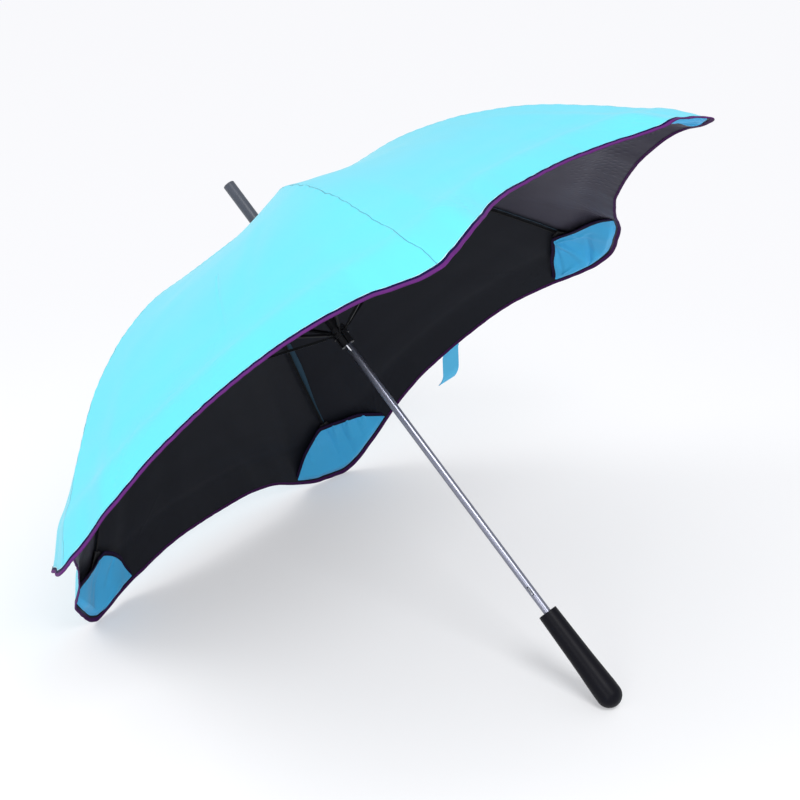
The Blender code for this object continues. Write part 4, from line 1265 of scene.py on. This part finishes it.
@dataclass
class TipPocket(RibSet):
    """The mid-blue patch inside each tip, gathered along its piped edge."""

    thickness: float = 0.0007
    corner: float = 0.982
    foot: float = 0.9895
    centre: float = 1.0
    skew: float = 1.6
    edge_depth: float = 0.00115
    side: float = 0.45
    low: float = 0.011
    piping: float = 0.0036
    piping_out: float = 0.0009
    piping_down: float = 0.0012
    crumple: float = 2.2
    rows: int = 80
    columns: int = 140
    row_power: float = 1.25
    wide: float = 0.090
    tall: float = 0.060

    def folds(self, rib: Rib) -> list[Crease]:
        """The creases of one rib's pocket, in metres of the flat patch."""
        turned = 1 if rib.value > 0 else -1
        rows = [
            (0.10 * turned, 0.0, 0.35 * turned, 0.80, 0.0010, 0.0030),
            (-0.35 * turned, 0.0, -0.20 * turned, 0.55, -0.0009, 0.0022),
            (0.50 * turned, 0.0, 0.45 * turned, 0.50, 0.0008, 0.0020),
            (-0.15 * turned, 0.95, -0.60 * turned, 0.60, 0.0009, 0.0032),
        ]
        if rib is Rib.E:
            rows = [
                (start, 0.0, start * 0.93 + lean, reach, height, 0.0016)
                for start, lean, reach, height in (
                    (-0.78, 0.05, 0.45, 0.0012), (-0.64, 0.0, 0.62, -0.0011),
                    (-0.50, 0.02, 0.50, 0.0014), (-0.38, 0.0, 0.75, -0.0012),
                    (-0.26, 0.03, 0.42, 0.0012), (-0.12, 0.0, 0.60, -0.0010),
                    (0.22, 0.02, 0.38, 0.0009), (0.55, -0.03, 0.45, -0.0009),
                )
            ]
        if rib is Rib.D:
            rows = [
                (0.06, 0.02, 0.22, 0.86, 0.0022, 0.0028),
                (0.22, 0.88, -0.42, 0.36, -0.0020, 0.0030),
                (0.0, 0.10, -0.50, 0.30, 0.0012, 0.0024),
                (0.16, 0.04, 0.62, 0.42, -0.0015, 0.0026),
                (0.72, 0.55, 0.30, 0.70, 0.0009, 0.0030),
                (-0.30, 0.10, -0.55, 0.80, 0.0008, 0.0030),
            ]
        half, tall = self.wide / 2, self.tall
        return [
            Crease((x0 * half, y0 * tall), (x1 * half, y1 * tall), height * self.crumple, width)
            for x0, y0, x1, y1, height, width in rows
        ]

    def rule(self, rib: Rib, u: Points, v: Points, folds: Sequence[Crease] = ()) -> Points:
        """Points of the pocket from u, 0 at its top edge to 1 at its foot, and v across.

        Args:
            rib: The rib that the pocket sits on.
            u: Share of the way from the piped edge to the foot.
            v: Place across, from -1 to 1.
            folds: The pocket's creases.

        Returns:
            Points in the rib's frame.
        """
        cut = CUTS[rib]
        share = np.where(v > 0, cut.after.fall(v), cut.before.fall(v))
        top = cut.peak + (self.corner - cut.peak) * share
        level = self.foot - (self.foot - top) * np.sign(1 - u) * np.abs(1 - u) ** self.row_power
        angle = self.centre + np.where(v < 0, cut.near, cut.far) * v - self.skew * v * v
        angle = angle + cut.lean * (1 - v * v)
        near_side = np.clip((1 - np.abs(v)) / self.side, 0, 1)
        near_foot = np.clip((self.foot - level) / self.low, 0, 1)
        fill = np.sin(math.pi / 2 * near_side) * np.sin(math.pi / 2 * near_foot)
        depth = self.edge_depth + (cut.depth - self.edge_depth) * fill
        for fold in folds:
            eased = np.clip(u / 0.12, 0.06, 1) * np.minimum(fill * 2, 1)
            depth = depth + fold.at(v * self.wide / 2, u * self.tall) * eased
        return SHAPES[rib].under(level, angle, depth)

    def make(self, rib: Rib) -> list[bpy.types.Object]:
        """Build and dress one rib's pocket and its piping."""
        folds = self.folds(rib)
        maker = SheetMaker(self.rows, self.columns, self.thickness)
        rule = partial(self.rule, rib, folds=folds)
        item, u, v = maker.make("pocket_cloth_" + rib.name, rule, rib, ["pocket"])
        flat = self.rule(rib, u, v)
        Maker.map_cloth(item, flat[:, 1], flat[:, 0])
        Maker.gather(item, rib)
        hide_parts("pocket_" + rib.name)
        piping = self._piping(rib, folds)
        Maker.area(item)
        return [item, piping]

    def _piping(self, rib: Rib, folds: Sequence[Crease]) -> bpy.types.Object:
        """The dark tape along one pocket's top edge."""
        shell = bmesh.new()
        bmesh.ops.create_grid(shell, x_segments=200, y_segments=12, size=1)
        grid = places(shell)
        v, turn = grid[:, 0], grid[:, 1] * math.pi
        top = np.zeros_like(v)
        down = self.rule(rib, top + 0.12, v) - self.rule(rib, top, v)
        run = self.rule(rib, top, v + 0.01) - self.rule(rib, top, v - 0.01)
        down, run = unit(down), unit(run)
        square = np.sign(np.cos(turn)) * np.abs(np.cos(turn)) ** 0.5
        local = self.rule(rib, top, v, folds)
        local = local + down * (self.piping_down - self.piping * square)[:, None]
        local = local + unit(np.cross(down, run)) * (self.piping_out * np.sin(turn))[:, None]
        lay(shell, local, PLACE.rib(rib))
        item = Maker.object("pocket_piping_" + rib.name, shell, ["piping"])
        Maker.map_cloth(item, 0.0024 * np.cos(turn), v * 0.1)
        joined = bmesh.new()
        joined.from_mesh(item.data)
        bmesh.ops.remove_doubles(joined, verts=joined.verts[:], dist=0.00001)
        close_up(joined)
        joined.to_mesh(item.data)
        joined.free()
        Maker.smooth(item, 60.0)
        Maker.gather(item, rib)
        return item


@dataclass
class ClosingStrap:
    """The short strap that hangs from the hem and holds the rolled umbrella closed."""

    rib: Rib = Rib.E
    angle: float = -28.6
    width: float = 0.025
    length: float = 0.058
    thickness: float = 0.0012
    turn: float = 0.1
    bend: float = 0.6
    skew: float = -0.05
    lean: float = 0.007
    curl: float = 0.006
    lift: float = 0.0025

    def build(self) -> list[bpy.types.Object]:
        """Build and dress the strap."""
        down = np.array(PLACE.rib(self.rib).to_3x3().inverted() @ Vector((0, 0, -1)))
        shape = SHAPES[self.rib]
        top, out = shape.point(1, self.angle), shape.normal(1, self.angle)
        start = top + out * self.lift
        across = shape.point(1, self.angle + 1) - shape.point(1, self.angle - 1)
        across = unit(across)
        root = unit(top - shape.point(1 - shape.share(0.012), self.angle))
        flat = across - down * across.dot(down)
        reach = self.width / 2 / np.linalg.norm(flat)
        aside = unit(flat)

        def rule(u: Points, v: Points) -> Points:
            turn = np.minimum(u / self.turn, 1)[:, None]
            bend = np.maximum(u - self.bend, 0)[:, None] / (1 - self.bend)
            way = unit(root * (1 - turn) + down * turn)
            run = (self.length * (1 + self.skew * v) * u)[:, None]
            point = start + across * reach * v[:, None] + way * run
            return point + (aside * self.lean + out * self.curl) * bend * bend

        maker = SheetMaker(60, 16, self.thickness)
        item, u, v = maker.make("strap", rule, self.rib, ["strap"])
        Maker.map_cloth(item, v * self.width / 2, u * self.length)
        Maker.gather(item, self.rib)
        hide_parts("closing_strap")
        return [item]


@dataclass
class Spreader(RibSet):
    """The stiff curved plate inside each tip, which keeps the tip round."""

    thickness: float = 0.0026
    depth: float = 0.0052
    shares: tuple[float, ...] = (0.872, 0.89, 0.91, 0.932, 0.953, 0.971)
    halves: tuple[float, ...] = (0.007, 0.011, 0.017, 0.025, 0.033, 0.037)

    def rule(self, rib: Rib, u: Points, v: Points) -> Points:
        """Points of one rib's plate from u along the rib and v across."""
        level = np.interp(np.clip(u, 0, 1), np.linspace(0, 1, len(self.shares)), self.shares)
        wide = np.interp(level, self.shares, self.halves) * v
        radius = SHAPE.radius * level * 0.97
        return SHAPES[rib].under(level, np.degrees(np.arcsin(wide / radius)), self.depth)

    def make(self, rib: Rib) -> list[bpy.types.Object]:
        """Build and dress one rib's plate."""
        maker = SheetMaker(24, 32, self.thickness)
        rule = partial(self.rule, rib)
        item = maker.make("tip_plate_" + rib.name, rule, rib, ["spreader"])[0]
        Maker.gather(item, rib, 0.12)
        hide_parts("spreader_" + rib.name)
        return [item]


@dataclass
class Grip:
    """The straight black grip, flared to a round end."""

    top: float = 0.1307
    top_radius: float = 0.0132
    end_radius: float = 0.01705
    bore: float = 0.0053
    rim: float = 0.0006
    foot: float = 0.0217
    flare: Profile = Profile(
        (0, 0.06, 0.15, 0.27, 0.4, 0.55, 0.7, 0.85, 0.98, 1),
        (1, 0.99, 0.88, 0.70, 0.52, 0.37, 0.25, 0.13, 0.02, 0),
    )

    def outline(self) -> list[tuple[float, float]]:
        """The turned outline, from the bore's floor up its wall and down the outside."""
        corner = (self.top_radius - self.rim, self.top - self.rim)
        points = [(0, self.foot), (self.bore, self.foot), (self.bore, self.top)]
        points += arc(corner, self.rim, 90, 0, 4)
        for height in np.linspace(0.98, 0.03, 40):
            flare = float(self.flare.at(height))
            radius = self.top_radius + (self.end_radius - self.top_radius) * flare
            points.append((radius, self.top * float(height)))
        return points + arc((0, 0), self.end_radius, 0, -90, 24)[:-1] + [(0, -self.end_radius)]

    def build(self) -> list[bpy.types.Object]:
        """Build and dress the grip."""
        item = Maker.turned("grip", self.outline(), ["grip"], 72)
        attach(item, "stick")
        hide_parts("handle_grip")
        return [item]


@dataclass
class Ferrule:
    """The round cap on the top end of the shaft."""

    radius: float = 0.008
    foot: float = PLACE.apex + 0.0016
    rounding: float = 0.0014
    bore: float = 0.0053
    chamfer: float = 0.0003

    def build(self) -> list[bpy.types.Object]:
        """Build and dress the ferrule."""
        top, roof = PLACE.top, PLACE.top - PLACE.roof
        corner = (self.radius - self.rounding, top - self.rounding)
        outline = [(0, top), *arc(corner, self.rounding, 90, 0, 8)]
        outline += [
            (self.radius, self.foot + self.chamfer), (self.radius - self.chamfer, self.foot),
            (self.bore, self.foot), (self.bore, roof), (0, roof),
        ]
        item = Maker.turned("top_ferrule", outline, ["ferrule"], 64)
        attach(item, "stick")
        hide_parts("ferrule")
        return [item]


@dataclass
class ShaftTube:
    """The bright steel tube, with a slot for each of the two catches."""

    radius: float = 0.0052
    wall: float = 0.0006
    foot: float = 0.022
    top: float = PLACE.top - PLACE.roof - 0.0003
    slot_azimuth: float = 120.0
    slot_length: float = 0.0134
    sides: int = 96

    def slots(self) -> list[float]:
        """Heights of the catches' middles, read from where the catches are."""
        back = PLACE.stick.inverted()
        found = []
        for name in ("catch_lower", "catch_upper"):
            item = frame["nodes"][name]
            heights = [(back @ (item.matrix_world @ v.co)).z for v in item.data.vertices]
            found.append((min(heights) + max(heights)) / 2)
        return found

    def build(self) -> list[bpy.types.Object]:
        """Build and dress the tube."""
        half = self.slot_length / 2
        edges = [middle + side * half for middle in self.slots() for side in (-1, 1)]
        heights = np.array(sorted([self.foot, self.top, *edges, *np.linspace(0.06, 0.8, 24)]))
        shell = bmesh.new()
        rows = len(heights) - 1
        bmesh.ops.create_grid(shell, x_segments=self.sides, y_segments=rows, size=1)
        for vertex in shell.verts:
            turn = math.pi * vertex.co.x
            height = float(heights[round((vertex.co.y + 1) / 2 * rows)])
            vertex.co = (self.radius * math.cos(turn), self.radius * math.sin(turn), height)
        bmesh.ops.remove_doubles(shell, verts=shell.verts[:], dist=0.00001)
        cut = []
        for face in shell.faces:
            middle = face.calc_center_median()
            off = math.degrees(math.atan2(middle.y, middle.x)) - self.slot_azimuth
            if abs(off) < 15 and any(abs(middle.z - place) < half for place in self.slots()):
                cut.append(face)
        bmesh.ops.delete(shell, geom=cut, context="FACES")
        bmesh.ops.recalc_face_normals(shell, faces=shell.faces[:])
        bmesh.ops.solidify(shell, geom=shell.faces[:], thickness=self.wall)
        bmesh.ops.transform(shell, matrix=PLACE.stick, verts=shell.verts[:])
        item = Maker.object("steel_tube", shell, ["shaft"])
        Maker.smooth(item, 40.0)
        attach(item, "stick")
        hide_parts("shaft_tube")
        return [item]


class HardParts:
    """CAD nodes whose shapes are right and only get their finishes here."""

    finishes = {
        "canopy_cap": "fitting", "crown": "fitting", "crown_wire": "wire", "runner_stop": "shaft",
        "runner_body": "fitting", "runner_wire": "wire", "catch_upper": "wire", "catch_lower": "wire",
    }

    def dress(self) -> int:
        """Give each carried-over node its finish.

        Returns:
            How many nodes were dressed.
        """
        chosen = dict(self.finishes)
        for rib in Rib:
            chosen["rib_" + rib.name] = "rod"
            chosen["stretcher_" + rib.name] = "rod"
        for name, finish in chosen.items():
            item = frame["nodes"][name]
            for slot in item.material_slots:
                slot.material = Finishes.get(finish)
            if not item.material_slots:
                item.data.materials.append(Finishes.get(finish))
        return len(chosen)


@dataclass
class Studio:
    """The pale floor, the soft lights and the camera, which is fixed in the stick's frame."""

    lens: float = 82.25
    sensor: float = 36.0
    eye: tuple[float, float, float] = (-1.742663, 1.617140, 0.180553)
    forward: tuple[float, float, float] = (0.724612, -0.678817, 0.118994)
    right: tuple[float, float, float] = (-0.495922, -0.633477, -0.593946)
    floor_size: float = 30.0
    near: float = 0.4
    far: float = 1.5
    # Share of camera-only glow on the floor next to the umbrella: painted light that lightens its
    # shadow.
    near_share: float = 0.36
    far_share: float = 0.92
    backdrop: Colour = (0.962, 0.963, 0.990, 1.0)
    sky: float = 0.72

    def camera(self) -> None:
        """Place the camera where the photograph was taken from."""
        data = bpy.data.cameras.new("camera")
        data.lens = self.lens
        data.sensor_width = self.sensor
        data.sensor_fit = "HORIZONTAL"
        data.clip_end = 60
        item = put("camera", data)
        forward = Vector(self.forward).normalized()
        right = (Vector(self.right) - forward * forward.dot(Vector(self.right))).normalized()
        up = right.cross(forward)
        turn = Matrix((right, up, -forward)).transposed().to_4x4()
        item.matrix_world = PLACE.stick @ Matrix.Translation(self.eye) @ turn
        bpy.context.scene.camera = item

    def floor(self) -> None:
        """Lay the pale floor."""
        shell = bmesh.new()
        bmesh.ops.create_grid(shell, x_segments=8, y_segments=8, size=self.floor_size / 2)
        mesh = bpy.data.meshes.new("floor")
        shell.to_mesh(mesh)
        shell.free()
        item = put("floor", mesh)
        g = Graph("floor_paper")
        place = g.place()
        cloudy = g.noise(place, 1.2, 2.0, 0.5)
        colour = g.mix(cloudy, (0.89, 0.895, 0.91, 1), (0.91, 0.915, 0.93, 1))
        paper = g.node(
            "ShaderNodeBsdfPrincipled",
            sockets={"Base Color": colour, "Roughness": 0.7, "Specular IOR Level": 0.2},
        )["BSDF"]
        # The backdrop is as pale as the paper next to the umbrella, and only the camera sees it. Next
        # to the umbrella a smaller share of this glow is painted light that lightens the floor's
        # shadow.
        far = g.node("ShaderNodeVectorMath", {"operation": "LENGTH"}, {0: place})["Value"]
        seen = g.node("ShaderNodeLightPath")["Is Camera Ray"]
        rise = self.far_share - self.near_share
        share = seen * (far.fade(self.near, self.far) * rise + self.near_share)
        pale = g.node("ShaderNodeEmission", sockets={"Color": self.backdrop})["Emission"]
        both = g.node("ShaderNodeMixShader", sockets={0: share, 1: paper, 2: pale})[0]
        g.node("ShaderNodeOutputMaterial", sockets={"Surface": both})
        mesh.materials.append(g.material)

    def lights(self) -> None:
        """Set three soft lamps, over, behind and in front of the object, and an even pale sky."""
        world = bpy.data.worlds.new("sky")
        world.use_nodes = True
        back = world.node_tree.nodes["Background"]
        back.inputs["Color"].default_value = (0.97, 0.985, 1.0, 1)
        back.inputs["Strength"].default_value = self.sky
        bpy.context.scene.world = world
        for name, place, size, power in (
            ("key", (1.9, -0.9, 2.8), 1.4, 64.0),
            ("fill", (-2.2, -1.6, 2.6), 2.2, 38.0),
            ("front", (1.3, -2.4, 0.8), 0.9, 12.0),
        ):
            data = bpy.data.lights.new(name, "AREA")
            data.shape = "DISK"
            data.size = size
            data.energy = power
            item = put(name, data)
            item.location = place
            aim = Vector((-0.1, 0, 0)) - Vector(place)
            item.rotation_euler = aim.to_track_quat("-Z", "Y").to_euler()

    def build(self) -> None:
        """Set up the whole studio."""
        self.camera()
        self.floor()
        self.lights()
        bpy.context.scene.view_settings.view_transform = "Standard"


def main() -> None:
    """Build the scene."""
    logging.basicConfig(level=logging.INFO, format="%(name)s: %(message)s")
    Studio().build()
    for part in (
        HemBinding(), Canopy(), SeamAllowance(), TipPocket(), Spreader(), ClosingStrap(), ShaftTube(),
        Grip(), Ferrule(),
    ):
        pieces = part.build()
        faces = sum(len(piece.data.polygons) for piece in pieces)
        LOG.info("%s: %d pieces, %d faces", type(part).__name__, len(pieces), faces)
    LOG.info("dressed %d CAD nodes", HardParts().dress())


if __name__ == "__main__":
    main()
